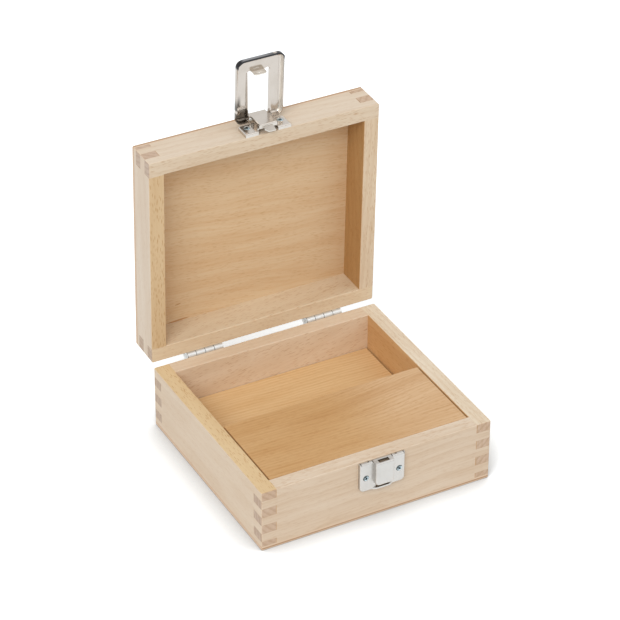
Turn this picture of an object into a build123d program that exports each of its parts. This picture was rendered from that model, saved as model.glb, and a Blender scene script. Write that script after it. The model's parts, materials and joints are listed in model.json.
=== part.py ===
from build123d import *
import os
from math import acos, cos, radians, sin

os.makedirs("parts", exist_ok=True)

# Hinged wooden case for a small set of weights, standing open.
# Origin: centre of the underside. +X is to the right, +Y is to the back, +Z is up.
# The lid and the latch are modelled closed, and turned to their rest pose at the end.

# Box
BOX_WIDTH = 156.0
BOX_DEPTH = 145.0
WALL = 10.0
PLY = 3.0
BASE_WALL_HEIGHT = 39.5
LID_WALL_HEIGHT = 20.5
RIM_GAP = 0.2
FINGER = 6.0
CORNER_EASE = 1.0
FACE_EASE = 0.8
RIM_EASE = 0.4

# Filling of the base
FLOOR_BOARD_THICKNESS = 14.5
BLOCK_DEPTH = 60.2
BLOCK_BELOW_RIM = 0.3
INSERT_SIDE_GAP = 1.0
INSERT_END_GAP = 0.3

# Rest pose: angles from the closed case
LID_OPEN = 88.5
LEVER_RAISED = 88.5

# Hinges
HINGE_LENGTH = 25.0
HINGE_SPACING = 84.0
LEAF_THICKNESS = 1.0
LEAF_HEIGHT = 10.5
BARREL_RADIUS = 2.15
KNUCKLES = 4
KNUCKLE_GAP = 0.1
HINGE_PIN_RADIUS = 1.0
HINGE_PIN_CLEARANCE = 0.05
HINGE_PIN_EASE = 0.2
BARREL_CLEARANCE = 0.2
EAR_WIDTH = 1.2
EAR_REACH = 4.6
EAR_FOOT = 3.2
EAR_HEEL = 8.0
EAR_TOE = 1.0
EAR_CLEARANCE = 0.03
STOP_RELIEF = 3.0
HINGE_SCREW_SPREAD = 13.0
HINGE_SCREW_DROP = 6.4

# Latch, common sizes
LATCH_X = 1.85
SHEET = 0.8
PLATE_WIDTH = 30.7
PLATE_RISE = 2.5
PLATE_BEND = 0.4
RELIEF = 0.5
SCREW_SPREAD = 22.5

# Keeper on the base
KEEPER_BELOW_RIM = 0.7
KEEPER_HEIGHT = 20.4
KEEPER_CORNER = 3.0
KEEPER_SCREW_DROP = 10.5
KEEPER_NOTCH_RADIUS = 0.8
KEEPER_NOTCH_SPREAD = 18.8
KEEPER_NOTCH_STAND_OFF = 0.6
POCKET_WIDTH = 12.6
POCKET_RISE = 6.0
POCKET_HEIGHT = 16.4
POCKET_CORNER = 2.6
POCKET_BEND = 0.7
SLOT_WIDTH = 7.1
SLOT_DEPTH = 2.9
SLOT_STAND_OFF = 1.9
STRIP_HEIGHT = 1.5
STRIP_WIDTH = 9.4
STRIP_RISE = 3.5
STRIP_SLOPE = 2.2
STRIP_EASE = 0.5

# Latch plate on the lid
WING_ABOVE_RIM = 0.2
WING_HEIGHT = 11.2
WING_CORNER = 1.2
WING_SCREW_RISE = 6.8
BRIDGE_WIDTH = 12.2
BRIDGE_RISE = 6.5
BRIDGE_ABOVE_RIM = 0.8
BRIDGE_LENGTH = 15.9
BRIDGE_BEND = 0.3
LIP_STAND_OFF = 3.7
MOUTH_LENGTH = 2.6
TONGUE_WIDTH = 6.6
TONGUE_ROOT_STAND_OFF = 4.1
TONGUE_TIP_STAND_OFF = 2.4
TONGUE_BELOW_RIM = 2.9
TONGUE_CHAMFER = 2.0

# Lever
PIVOT_ABOVE_RIM = 12.6
PIVOT_STAND_OFF = 4.3
LEVER_PIN_RADIUS = 1.2
LEVER_PIN_CLEARANCE = 0.08
PIN_SEAT_CLEARANCE = 0.02
LEVER_PIN_EASE = 0.2
LEVER_SHIFT = -0.45
LEVER_WIDTH = 32.0
LEVER_HEAD = 1.2
LEVER_REACH = 43.5
LEVER_DEPTH = 4.0
LEVER_RIM_STAND_OFF = 3.0
LEVER_FAR_CORNER = 5.0
LEVER_NEAR_CORNER = 4.0
LEVER_BEND = 1.4
LEVER_CURL = 6.0
LEVER_CURL_DROP = 2.2
WINDOW_WIDTH = 14.4
WINDOW_REACH = 32.9
WINDOW_CORNER = 1.2
LIP_FAR = 0.4
LIP_NEAR = 2.4
EAR_LENGTH = 3.0
TAB_WIDTH = 8.4
TAB_ROOT_WIDTH = 13.0
TAB_REACH = 31.3
TAB_TIP_STAND_OFF = 2.2
TAB_BEND = 1.2
TAB_CORNER = 1.5
TAB_SLOT_WIDTH = 4.7
TAB_SLOT_HEIGHT = 1.2
TAB_SLOT_STAND_OFF = 3.9

# Screws
HEAD_RADIUS = 1.8
SHANK_RADIUS = 1.1
SCREW_LENGTH = 9.0
HINGE_HEAD_RADIUS = 1.55
HINGE_SHANK_RADIUS = 0.9
HINGE_SCREW_LENGTH = 7.5
HEAD_SUNK = 0.25
HEAD_CLEARANCE = 0.05
SHANK_CLEARANCE = 0.05
COUNTERSINK_ANGLE = 90.0
PILOT_SPARE = 1.0
RECESS_WIDTH = 0.5
RECESS_DEPTH = 0.7
RECESS_SHARE = 1.3

# Places worked out from the sizes above
BASE_HEIGHT = PLY + BASE_WALL_HEIGHT
LID_RIM = BASE_HEIGHT + RIM_GAP
LID_PLY = LID_RIM + LID_WALL_HEIGHT
LID_TOP = LID_PLY + PLY
FRONT_Y = -BOX_DEPTH / 2
REAR_Y = BOX_DEPTH / 2
INNER_WIDTH = BOX_WIDTH - 2 * WALL
INNER_DEPTH = BOX_DEPTH - 2 * WALL
HINGE_Y = REAR_Y + BARREL_RADIUS
HINGE_Z = BASE_HEIGHT + RIM_GAP / 2
HINGE_CENTRES = {"left": -HINGE_SPACING / 2, "right": HINGE_SPACING / 2}
KEEPER_TOP = BASE_HEIGHT - KEEPER_BELOW_RIM
KEEPER_BOTTOM = KEEPER_TOP - KEEPER_HEIGHT
POCKET_BOTTOM = KEEPER_TOP - POCKET_HEIGHT
WING_BOTTOM = LID_RIM + WING_ABOVE_RIM
WING_TOP = WING_BOTTOM + WING_HEIGHT
BRIDGE_BOTTOM = LID_RIM + BRIDGE_ABOVE_RIM
BRIDGE_TOP = BRIDGE_BOTTOM + BRIDGE_LENGTH
PIVOT_Z = LID_RIM + PIVOT_ABOVE_RIM
PIVOT_Y = FRONT_Y - PIVOT_STAND_OFF
LEVER_FACE = LEVER_RIM_STAND_OFF + LEVER_DEPTH
LEVER_TOP = PIVOT_Z + LEVER_HEAD
LEVER_BOTTOM = PIVOT_Z - LEVER_REACH
LEVER_X = LATCH_X + LEVER_SHIFT

HINGE_AXIS = Axis((0, HINGE_Y, HINGE_Z), (1, 0, 0))
PIVOT_AXIS = Axis((LEVER_X, PIVOT_Y, PIVOT_Z), (1, 0, 0))


def opened(part):
    """Swing a piece of the closed lid to the open rest pose."""
    return part.rotate(HINGE_AXIS, -LID_OPEN)


def latch_plane(stand_off, shift=0):
    """Plane parallel to the front face on the latch's centre line, with its normal outward."""
    origin = (LATCH_X + shift, FRONT_Y - stand_off, 0)
    return Plane(origin=origin, x_dir=(1, 0, 0), z_dir=(0, -1, 0))


def screw_places(plane, spread, height):
    """The two places, side by side, of a pair of screws on a plane."""
    return [plane * Pos(side * spread / 2, height) for side in (-1, 1)]


# Walls with finger joints


def finger_bands(rim, end):
    """Heights of the fingers of a corner, counted from the rim; the last one is cut short."""
    step = FINGER if end > rim else -FINGER
    count = int(abs(end - rim) // FINGER) + 1
    edges = [rim + step * i for i in range(count)] + [end]
    return [sorted(pair) for pair in zip(edges, edges[1:]) if abs(pair[1] - pair[0]) > RIM_EASE]


def eased_block(bottom, top, bottom_ease, top_ease):
    """Outside of the box between two heights, with its edges eased."""
    with BuildPart() as block:
        with BuildSketch(Plane.XY.offset(bottom)):
            RectangleRounded(BOX_WIDTH, BOX_DEPTH, CORNER_EASE)
        extrude(amount=top - bottom)
        fillet(block.faces().sort_by(Axis.Z)[0].edges(), bottom_ease)
        fillet(block.faces().sort_by(Axis.Z)[-1].edges(), top_ease)
    return block.part


def rim_flare(rim, into):
    """Cutter that eases the inner edge of a rim all round; into is +1 or -1, the way into the wood."""
    with BuildPart() as flare:
        with BuildSketch(Plane.XY.offset(rim)):
            Rectangle(INNER_WIDTH + 2 * RIM_EASE, INNER_DEPTH + 2 * RIM_EASE)
        with BuildSketch(Plane.XY.offset(rim + into * RIM_EASE)):
            Rectangle(INNER_WIDTH, INNER_DEPTH)
        loft(ruled=True)
    return flare.part


def wall_board(size, centre, heights, other_fingers, outside, flare):
    """One wall with the other walls' fingers cut out of its ends."""
    low, high = heights
    with BuildPart() as board:
        with BuildSketch(Plane.XY.offset(low)):
            with Locations(centre):
                Rectangle(*size)
        extrude(amount=high - low)
        for finger_low, finger_high in other_fingers:
            with BuildSketch(Plane.XY.offset(finger_low)):
                with GridLocations(BOX_WIDTH - WALL, BOX_DEPTH - WALL, 2, 2):
                    Rectangle(WALL, WALL)
            extrude(amount=finger_high - finger_low, mode=Mode.SUBTRACT)
        add(outside, mode=Mode.INTERSECT)
        add(flare, mode=Mode.SUBTRACT)
    return board.part


WALL_PLANS = {
    "front": ((BOX_WIDTH, WALL), (0, FRONT_Y + WALL / 2)),
    "rear": ((BOX_WIDTH, WALL), (0, REAR_Y - WALL / 2)),
    "left": ((WALL, BOX_DEPTH), (-(BOX_WIDTH - WALL) / 2, 0)),
    "right": ((WALL, BOX_DEPTH), ((BOX_WIDTH - WALL) / 2, 0)),
}


def walls(heights, rim, outside, flare, first_finger_on_sides):
    """The four walls of a tray, by their side; neighbours take the fingers in turn."""
    end = heights[0] if rim == heights[1] else heights[1]
    bands = finger_bands(rim, end)
    even, odd = bands[0::2], bands[1::2]
    side_bands, front_bands = (even, odd) if first_finger_on_sides else (odd, even)
    boards = {}
    for side, (size, centre) in WALL_PLANS.items():
        cut = front_bands if side in ("left", "right") else side_bands
        boards[side] = wall_board(size, centre, heights, cut, outside, flare)
    return boards


base_outside = eased_block(0, BASE_HEIGHT, FACE_EASE, RIM_EASE)
lid_outside = eased_block(LID_RIM, LID_TOP, RIM_EASE, FACE_EASE)
base_boards = walls((PLY, BASE_HEIGHT), BASE_HEIGHT, base_outside, rim_flare(BASE_HEIGHT, -1), True)
lid_boards = walls((LID_RIM, LID_PLY), LID_RIM, lid_outside, rim_flare(LID_RIM, 1), False)

KEEPER_SCREWS = screw_places(latch_plane(0), SCREW_SPREAD, KEEPER_TOP - KEEPER_SCREW_DROP)
WING_SCREWS = screw_places(latch_plane(0), SCREW_SPREAD, WING_BOTTOM + WING_SCREW_RISE)
REAR_FACE = Plane(origin=(0, REAR_Y, 0), x_dir=(-1, 0, 0), z_dir=(0, 1, 0))


def hinge_screws_at(height):
    """Places of the screws of both hinges on the rear face, at one height."""
    places = []
    for centre in HINGE_CENTRES.values():
        places += [REAR_FACE * Pos(-centre + side * HINGE_SCREW_SPREAD / 2, height) for side in (-1, 1)]
    return places


BASE_HINGE_SCREWS = hinge_screws_at(HINGE_Z - HINGE_SCREW_DROP)
LID_HINGE_SCREWS = hinge_screws_at(HINGE_Z + HINGE_SCREW_DROP)


def drilled(board, places, radius, depth):
    """A wall with blind pilot holes for its screws."""
    with BuildPart() as wall:
        add(board)
        with Locations(*places):
            Hole(radius + SHANK_CLEARANCE, depth)
    return wall.part


PLATE_PILOT_DEPTH = SCREW_LENGTH - PLATE_RISE + PILOT_SPARE
HINGE_PILOT_DEPTH = HINGE_SCREW_LENGTH - LEAF_THICKNESS + PILOT_SPARE
base_boards["front"] = drilled(base_boards["front"], KEEPER_SCREWS, SHANK_RADIUS, PLATE_PILOT_DEPTH)
base_boards["rear"] = drilled(
    base_boards["rear"], BASE_HINGE_SCREWS, HINGE_SHANK_RADIUS, HINGE_PILOT_DEPTH
)
lid_boards["front"] = drilled(lid_boards["front"], WING_SCREWS, SHANK_RADIUS, PLATE_PILOT_DEPTH)
lid_boards["rear"] = drilled(
    lid_boards["rear"], LID_HINGE_SCREWS, HINGE_SHANK_RADIUS, HINGE_PILOT_DEPTH
)

for side, board in base_boards.items():
    board.label = f"base_{side}_wall"
    export_step(board, f"parts/base_{side}_wall.step")

for side, board in lid_boards.items():
    lid_wall = opened(board)
    lid_wall.label = f"lid_{side}_wall"
    export_step(lid_wall, f"parts/lid_{side}_wall.step")


# Plywood panels


with BuildPart() as base_bottom_panel:
    with BuildSketch():
        Rectangle(BOX_WIDTH, BOX_DEPTH)
    extrude(amount=PLY)
    add(base_outside, mode=Mode.INTERSECT)

base_bottom_panel.part.label = "base_bottom_panel"
export_step(base_bottom_panel.part, "parts/base_bottom_panel.step")

with BuildPart() as lid_top_panel:
    with BuildSketch(Plane.XY.offset(LID_PLY)):
        Rectangle(BOX_WIDTH, BOX_DEPTH)
    extrude(amount=PLY)
    add(lid_outside, mode=Mode.INTERSECT)

lid_top_panel.part = opened(lid_top_panel.part)
lid_top_panel.part.label = "lid_top_panel"
export_step(lid_top_panel.part, "parts/lid_top_panel.step")


# Filling of the base: a floor board, and a block that fills the front up to the rim


INSERT_WIDTH = INNER_WIDTH - 2 * INSERT_SIDE_GAP
FLOOR_BOARD_TOP = PLY + FLOOR_BOARD_THICKNESS

with BuildPart() as insert_floor_board:
    with BuildSketch(Plane.XY.offset(PLY)):
        Rectangle(INSERT_WIDTH, INNER_DEPTH - 2 * INSERT_END_GAP)
    extrude(amount=FLOOR_BOARD_THICKNESS)

insert_floor_board.part.label = "insert_floor_board"
export_step(insert_floor_board.part, "parts/insert_floor_board.step")

with BuildPart() as insert_front_block:
    with BuildSketch(Plane.XY.offset(FLOOR_BOARD_TOP)):
        with Locations((0, FRONT_Y + WALL + INSERT_END_GAP + BLOCK_DEPTH / 2)):
            Rectangle(INSERT_WIDTH, BLOCK_DEPTH)
    extrude(amount=BASE_HEIGHT - BLOCK_BELOW_RIM - FLOOR_BOARD_TOP)
    chamfer(insert_front_block.faces().sort_by(Axis.Z)[-1].edges(), RIM_EASE / 2)

insert_front_block.part.label = "insert_front_block"
export_step(insert_front_block.part, "parts/insert_front_block.step")


# Screws: a countersunk head with a cross recess, its top face on z = 0


def screw(head_radius, shank_radius, length):
    """A countersunk wood screw that points down, with its thread left plain."""
    cone = head_radius - shank_radius
    with BuildPart() as body:
        with BuildSketch(Plane.XZ):
            Polygon(
                (0, 0),
                (head_radius, 0),
                (shank_radius, -cone),
                (shank_radius, -length + shank_radius),
                (0, -length),
                align=None,
            )
        revolve(axis=Axis.Z)
        with BuildSketch():
            Rectangle(RECESS_SHARE * head_radius, RECESS_WIDTH)
            Rectangle(RECESS_WIDTH, RECESS_SHARE * head_radius)
        extrude(amount=-RECESS_DEPTH, mode=Mode.SUBTRACT)
    return body.part


plate_screw = screw(HEAD_RADIUS, SHANK_RADIUS, SCREW_LENGTH)
hinge_screw = screw(HINGE_HEAD_RADIUS, HINGE_SHANK_RADIUS, HINGE_SCREW_LENGTH)

with BuildPart() as keeper_screws:
    with Locations(*[place * Pos(0, 0, PLATE_RISE - HEAD_SUNK) for place in KEEPER_SCREWS]):
        add(plate_screw)

keeper_screws.part.label = "keeper_screws"
export_step(keeper_screws.part, "parts/keeper_screws.step")

with BuildPart() as latch_plate_screws:
    with Locations(*[place * Pos(0, 0, PLATE_RISE - HEAD_SUNK) for place in WING_SCREWS]):
        add(plate_screw)

latch_plate_screws.part = opened(latch_plate_screws.part)
latch_plate_screws.part.label = "latch_plate_screws"
export_step(latch_plate_screws.part, "parts/latch_plate_screws.step")

with BuildPart() as base_hinge_screws:
    with Locations(*[place * Pos(0, 0, LEAF_THICKNESS - HEAD_SUNK) for place in BASE_HINGE_SCREWS]):
        add(hinge_screw)

base_hinge_screws.part.label = "base_hinge_screws"
export_step(base_hinge_screws.part, "parts/base_hinge_screws.step")

with BuildPart() as lid_hinge_screws:
    with Locations(*[place * Pos(0, 0, LEAF_THICKNESS - HEAD_SUNK) for place in LID_HINGE_SCREWS]):
        add(hinge_screw)

lid_hinge_screws.part = opened(lid_hinge_screws.part)
lid_hinge_screws.part.label = "lid_hinge_screws"
export_step(lid_hinge_screws.part, "parts/lid_hinge_screws.step")


# Hinges: two equal leaves with interleaved knuckles, one of them turned over.
# Ears at the ends of the leaves meet when the lid is open, and hold it there.


KNUCKLE_PITCH = HINGE_LENGTH / KNUCKLES
KNUCKLE_LENGTH = KNUCKLE_PITCH - KNUCKLE_GAP
BORE_RADIUS = HINGE_PIN_RADIUS + HINGE_PIN_CLEARANCE
SEAT_SPREAD = HEAD_SUNK + HEAD_CLEARANCE


def knuckle_centre(index):
    """Place of a knuckle along the pin, from the middle of the hinge."""
    return (index - (KNUCKLES - 1) / 2) * KNUCKLE_PITCH


def on_ray(reach, angle):
    """Point at a distance from the pin, at an angle below the line straight back."""
    return (reach * cos(radians(angle)), -reach * sin(radians(angle)))


LEAF_BACK = -BARREL_RADIUS
LEAF_FACE = LEAF_BACK + LEAF_THICKNESS
EAR_ANGLE = LID_OPEN / 2
EAR_INNER = BARREL_RADIUS + BARREL_CLEARANCE

with BuildPart() as hinge_leaf:
    # Flat of the leaf, seen along the pin: x is to the back of the box, y is up
    with BuildSketch(Plane.YZ):
        with Locations(((LEAF_BACK + LEAF_FACE) / 2, -LEAF_HEIGHT / 2)):
            Rectangle(LEAF_THICKNESS, LEAF_HEIGHT)
    extrude(amount=HINGE_LENGTH / 2, both=True)
    # Room for the other leaf's knuckles
    for index in range(1, KNUCKLES, 2):
        with BuildSketch(Plane.YZ.offset(knuckle_centre(index))):
            with Locations((LEAF_BACK, 0)):
                Rectangle(2 * BARREL_RADIUS, 2 * EAR_INNER)
        extrude(amount=KNUCKLE_PITCH / 2 + KNUCKLE_GAP / 2, both=True, mode=Mode.SUBTRACT)
    # Its own knuckles
    for index in range(0, KNUCKLES, 2):
        with BuildSketch(Plane.YZ.offset(knuckle_centre(index))):
            Circle(BARREL_RADIUS)
        extrude(amount=KNUCKLE_LENGTH / 2, both=True)
    # Ears, bent out at both ends
    for end in (-1, 1):
        with BuildSketch(Plane.YZ.offset(end * (HINGE_LENGTH - EAR_WIDTH) / 2)):
            Polygon(
                (LEAF_FACE - LEAF_THICKNESS / 2, -EAR_HEEL),
                (LEAF_FACE - LEAF_THICKNESS / 2, -EAR_FOOT),
                (LEAF_FACE, -EAR_FOOT),
                on_ray(EAR_INNER, EAR_ANGLE),
                on_ray(EAR_REACH, EAR_ANGLE),
                (LEAF_FACE + EAR_TOE, -EAR_HEEL),
                align=None,
            )
        extrude(amount=EAR_WIDTH / 2, both=True)
    # Stop faces stand back from the meeting plane by the clearance
    with BuildSketch(Plane.YZ):
        Polygon(
            on_ray(BARREL_RADIUS, EAR_ANGLE - STOP_RELIEF),
            on_ray(EAR_REACH + EAR_TOE, EAR_ANGLE - STOP_RELIEF),
            on_ray(EAR_REACH + EAR_TOE, EAR_ANGLE + EAR_CLEARANCE),
            on_ray(BARREL_RADIUS, EAR_ANGLE + EAR_CLEARANCE),
            align=None,
        )
    extrude(amount=HINGE_LENGTH, both=True, mode=Mode.SUBTRACT)
    # Bore for the pin
    with BuildSketch(Plane.YZ):
        Circle(BORE_RADIUS)
    extrude(amount=HINGE_LENGTH, both=True, mode=Mode.SUBTRACT)
    # Countersunk screw holes
    leaf_face = Plane(origin=(0, LEAF_FACE, 0), x_dir=(-1, 0, 0), z_dir=(0, 1, 0))
    with Locations(*screw_places(leaf_face, HINGE_SCREW_SPREAD, -HINGE_SCREW_DROP)):
        CounterSinkHole(
            HINGE_SHANK_RADIUS + SHANK_CLEARANCE,
            HINGE_HEAD_RADIUS + SEAT_SPREAD,
            counter_sink_angle=COUNTERSINK_ANGLE,
        )

for side, centre in HINGE_CENTRES.items():
    place = Location((centre, HINGE_Y, HINGE_Z))
    base_leaf = hinge_leaf.part.moved(place)
    base_leaf.label = f"hinge_base_leaf_{side}"
    export_step(base_leaf, f"parts/hinge_base_leaf_{side}.step")
    lid_leaf = opened(hinge_leaf.part.rotate(Axis.Y, 180).moved(place))
    lid_leaf.label = f"hinge_lid_leaf_{side}"
    export_step(lid_leaf, f"parts/hinge_lid_leaf_{side}.step")

for side, centre in HINGE_CENTRES.items():
    with BuildPart() as hinge_pin:
        with BuildSketch(Plane.YZ.offset(centre - HINGE_LENGTH / 2)):
            with Locations((HINGE_Y, HINGE_Z)):
                Circle(HINGE_PIN_RADIUS)
        extrude(amount=HINGE_LENGTH)
        chamfer(hinge_pin.edges().filter_by(GeomType.CIRCLE), HINGE_PIN_EASE)
    hinge_pin.part.label = f"hinge_pin_{side}"
    export_step(hinge_pin.part, f"parts/hinge_pin_{side}.step")


# Seat of a plate screw: a cone pressed in from the plate's face, which is on z = 0


DIMPLE_SPREAD = SHEET + SHANK_RADIUS + SHANK_CLEARANCE
DIMPLE_DEPTH = HEAD_RADIUS - SHANK_RADIUS + SEAT_SPREAD
SCREW_SEAT_RADIUS = HEAD_RADIUS + SEAT_SPREAD


with BuildPart() as dimple:
    with BuildSketch(Plane.XY.offset(-SHEET / 2)):
        Circle(SCREW_SEAT_RADIUS + SHEET / 2)
    with BuildSketch(Plane.XY.offset(-DIMPLE_DEPTH)):
        Circle(DIMPLE_SPREAD)
    loft()


# Pressed sheet: an outside block less the same block drawn in by the sheet


def pressed_block(width, low, high, base, rise, bend, corners, inset=0, shift=0):
    """Block on the front face with rounded corners and bent front edges, drawn in by an inset.

    It stands from base to rise off the wood; corners gives the lower and the upper corner radius.
    """
    with BuildPart() as block:
        with BuildSketch(latch_plane(base, shift)):
            with Locations((0, (low + high) / 2)):
                Rectangle(width - 2 * inset, high - low - 2 * inset)
            for row, corner in zip((0, -1), corners):
                if corner:
                    fillet(vertices().group_by(Axis.Y)[row], corner - inset)
        extrude(amount=rise - inset - base)
        fillet(block.faces().sort_by(Axis.Y)[0].edges(), bend + SHEET - inset)
    return block.part


SHEET_BACK = PLATE_RISE - SHEET


# Keeper: a plate with a raised pocket, slotted on top and open below, over a bowed strip


def keeper_body(inset):
    """The keeper's plate, or the hollow behind it."""
    corners = (KEEPER_CORNER, 0)
    return pressed_block(
        PLATE_WIDTH, KEEPER_BOTTOM, KEEPER_TOP, 0, PLATE_RISE, PLATE_BEND, corners, inset
    )


def keeper_pocket(base, inset):
    """The keeper's pocket, or the hollow in it."""
    corners = (POCKET_CORNER, 0)
    return pressed_block(
        POCKET_WIDTH, POCKET_BOTTOM, KEEPER_TOP, base, POCKET_RISE, POCKET_BEND, corners, inset
    )


def keeper_strip(bottom, inset):
    """The strip below the pocket, bowed outward, or the hollow behind it."""
    with BuildPart() as strip:
        with BuildSketch(Plane.XY.offset(bottom)):
            with Locations((LATCH_X, FRONT_Y)):
                Polygon(
                    (-STRIP_WIDTH / 2 - STRIP_SLOPE, -SHEET_BACK),
                    (-STRIP_WIDTH / 2 - STRIP_SLOPE, -PLATE_RISE + SHEET / 4),
                    (-STRIP_WIDTH / 2, -STRIP_RISE),
                    (STRIP_WIDTH / 2, -STRIP_RISE),
                    (STRIP_WIDTH / 2 + STRIP_SLOPE, -PLATE_RISE + SHEET / 4),
                    (STRIP_WIDTH / 2 + STRIP_SLOPE, -SHEET_BACK),
                    align=None,
                )
            fillet(vertices().group_by(Axis.Y)[0], STRIP_SLOPE)
            if inset:
                offset(amount=-inset, mode=Mode.REPLACE)
        extrude(amount=KEEPER_BOTTOM + STRIP_HEIGHT - bottom)
        front = strip.edges().group_by(Axis.Z)[0].group_by(Axis.Y)[0]
        if not inset:
            fillet(front, STRIP_EASE)
    return strip.part


with BuildPart() as keeper_plate:
    add(keeper_body(0))
    add(keeper_pocket(SHEET_BACK, 0))
    add(keeper_strip(KEEPER_BOTTOM, 0))
    add(keeper_body(SHEET), mode=Mode.SUBTRACT)
    add(keeper_pocket(0, SHEET), mode=Mode.SUBTRACT)
    add(keeper_strip(KEEPER_BOTTOM + SHEET, SHEET), mode=Mode.SUBTRACT)
    # Opening between the strip and the pocket, which runs up into the pocket
    with BuildSketch(latch_plane(0)):
        with Locations((0, (KEEPER_BOTTOM + STRIP_HEIGHT + POCKET_BOTTOM) / 2)):
            Rectangle(STRIP_WIDTH, POCKET_BOTTOM - KEEPER_BOTTOM - STRIP_HEIGHT)
    extrude(amount=STRIP_RISE, mode=Mode.SUBTRACT)
    with BuildSketch(latch_plane(0)):
        with Locations((0, POCKET_BOTTOM)):
            Rectangle(POCKET_WIDTH - 2 * POCKET_CORNER, 2 * POCKET_CORNER)
    extrude(amount=POCKET_RISE - SHEET, mode=Mode.SUBTRACT)
    # Slot for the tongue
    with BuildSketch(Plane.XY.offset(KEEPER_TOP)):
        with Locations((LATCH_X, FRONT_Y - SLOT_STAND_OFF - SLOT_DEPTH / 2)):
            Rectangle(SLOT_WIDTH, SLOT_DEPTH)
    extrude(amount=-2 * SHEET, mode=Mode.SUBTRACT)
    # Bend reliefs in the top edge, at the corners and beside the pocket, and two round notches
    with BuildSketch(Plane.XY.offset(KEEPER_TOP)):
        with Locations((LATCH_X, FRONT_Y - PLATE_RISE / 2)):
            for spread in (POCKET_WIDTH + RELIEF, PLATE_WIDTH - 2 * SHEET):
                with GridLocations(spread, 1, 2, 1):
                    Rectangle(RELIEF, PLATE_RISE)
        with Locations((LATCH_X, FRONT_Y - KEEPER_NOTCH_STAND_OFF)):
            with GridLocations(KEEPER_NOTCH_SPREAD, 1, 2, 1):
                Circle(KEEPER_NOTCH_RADIUS)
    extrude(amount=-SHEET, mode=Mode.SUBTRACT)
    with Locations(*[place * Pos(0, 0, PLATE_RISE) for place in KEEPER_SCREWS]):
        add(dimple.part)
        CounterSinkHole(
            SHANK_RADIUS + SHANK_CLEARANCE, SCREW_SEAT_RADIUS, counter_sink_angle=COUNTERSINK_ANGLE
        )

keeper_plate.part.label = "keeper_plate"
export_step(keeper_plate.part, "parts/keeper_plate.step")


# Latch plate: two wings and a bridge that holds the lever's pin, with a tongue for the slot


def plate_wings(inset, open_end):
    """The wings in one piece, or the hollow behind them, which runs out at its upper end."""
    corners = (0, WING_CORNER)
    high = WING_TOP + open_end
    return pressed_block(
        PLATE_WIDTH, WING_BOTTOM, high, 0, PLATE_RISE, PLATE_BEND, corners, inset
    )


def plate_bridge(base, inset, open_end):
    """The bridge, or the tunnel in it, which runs out at its upper end."""
    high = BRIDGE_TOP + open_end
    return pressed_block(
        BRIDGE_WIDTH, BRIDGE_BOTTOM, high, base, BRIDGE_RISE, BRIDGE_BEND, (0, 0), inset
    )


with BuildPart() as latch_plate:
    add(plate_wings(0, 0))
    add(plate_bridge(SHEET_BACK, 0, 0))
    add(plate_wings(SHEET, 2 * (PLATE_BEND + SHEET)), mode=Mode.SUBTRACT)
    add(plate_bridge(0, SHEET, 2 * (BRIDGE_BEND + SHEET)), mode=Mode.SUBTRACT)
    # Mouth below the lip
    with BuildSketch(latch_plane(0)):
        with Locations((0, WING_BOTTOM + MOUTH_LENGTH / 2)):
            Rectangle(BRIDGE_WIDTH + 2 * RELIEF, MOUTH_LENGTH)
    extrude(amount=LIP_STAND_OFF, mode=Mode.SUBTRACT)
    # Holes for the lever's pin
    with BuildSketch(Plane.YZ.offset(LATCH_X)):
        with Locations((PIVOT_Y, PIVOT_Z)):
            Circle(LEVER_PIN_RADIUS + LEVER_PIN_CLEARANCE)
    extrude(amount=BRIDGE_WIDTH / 2, both=True, mode=Mode.SUBTRACT)
    # Tongue, bent from the lip down into the keeper's slot
    with BuildSketch(Plane.YZ.offset(LATCH_X)):
        Polygon(
            (FRONT_Y - TONGUE_ROOT_STAND_OFF - SHEET, BRIDGE_BOTTOM + SHEET / 2),
            (FRONT_Y - TONGUE_ROOT_STAND_OFF, BRIDGE_BOTTOM + SHEET / 2),
            (FRONT_Y - TONGUE_TIP_STAND_OFF, LID_RIM - TONGUE_BELOW_RIM),
            (FRONT_Y - TONGUE_TIP_STAND_OFF - SHEET, LID_RIM - TONGUE_BELOW_RIM),
            align=None,
        )
    extrude(amount=TONGUE_WIDTH / 2, both=True)
    with BuildSketch(latch_plane(0)):
        Polygon(
            (-TONGUE_WIDTH / 2, LID_RIM - TONGUE_BELOW_RIM),
            (-TONGUE_WIDTH / 2 + TONGUE_CHAMFER, LID_RIM - TONGUE_BELOW_RIM),
            (-TONGUE_WIDTH / 2, LID_RIM - TONGUE_BELOW_RIM + TONGUE_CHAMFER),
            align=None,
        )
    extrude(amount=BRIDGE_RISE, mode=Mode.SUBTRACT)
    with Locations(*[place * Pos(0, 0, PLATE_RISE) for place in WING_SCREWS]):
        add(dimple.part)
        CounterSinkHole(
            SHANK_RADIUS + SHANK_CLEARANCE, SCREW_SEAT_RADIUS, counter_sink_angle=COUNTERSINK_ANGLE
        )

latch_plate.part = opened(latch_plate.part)
latch_plate.part.label = "latch_plate"
export_step(latch_plate.part, "parts/latch_plate.step")


# Lever: a pressed frame with ears for its pin and a hooked tab in its window


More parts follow.
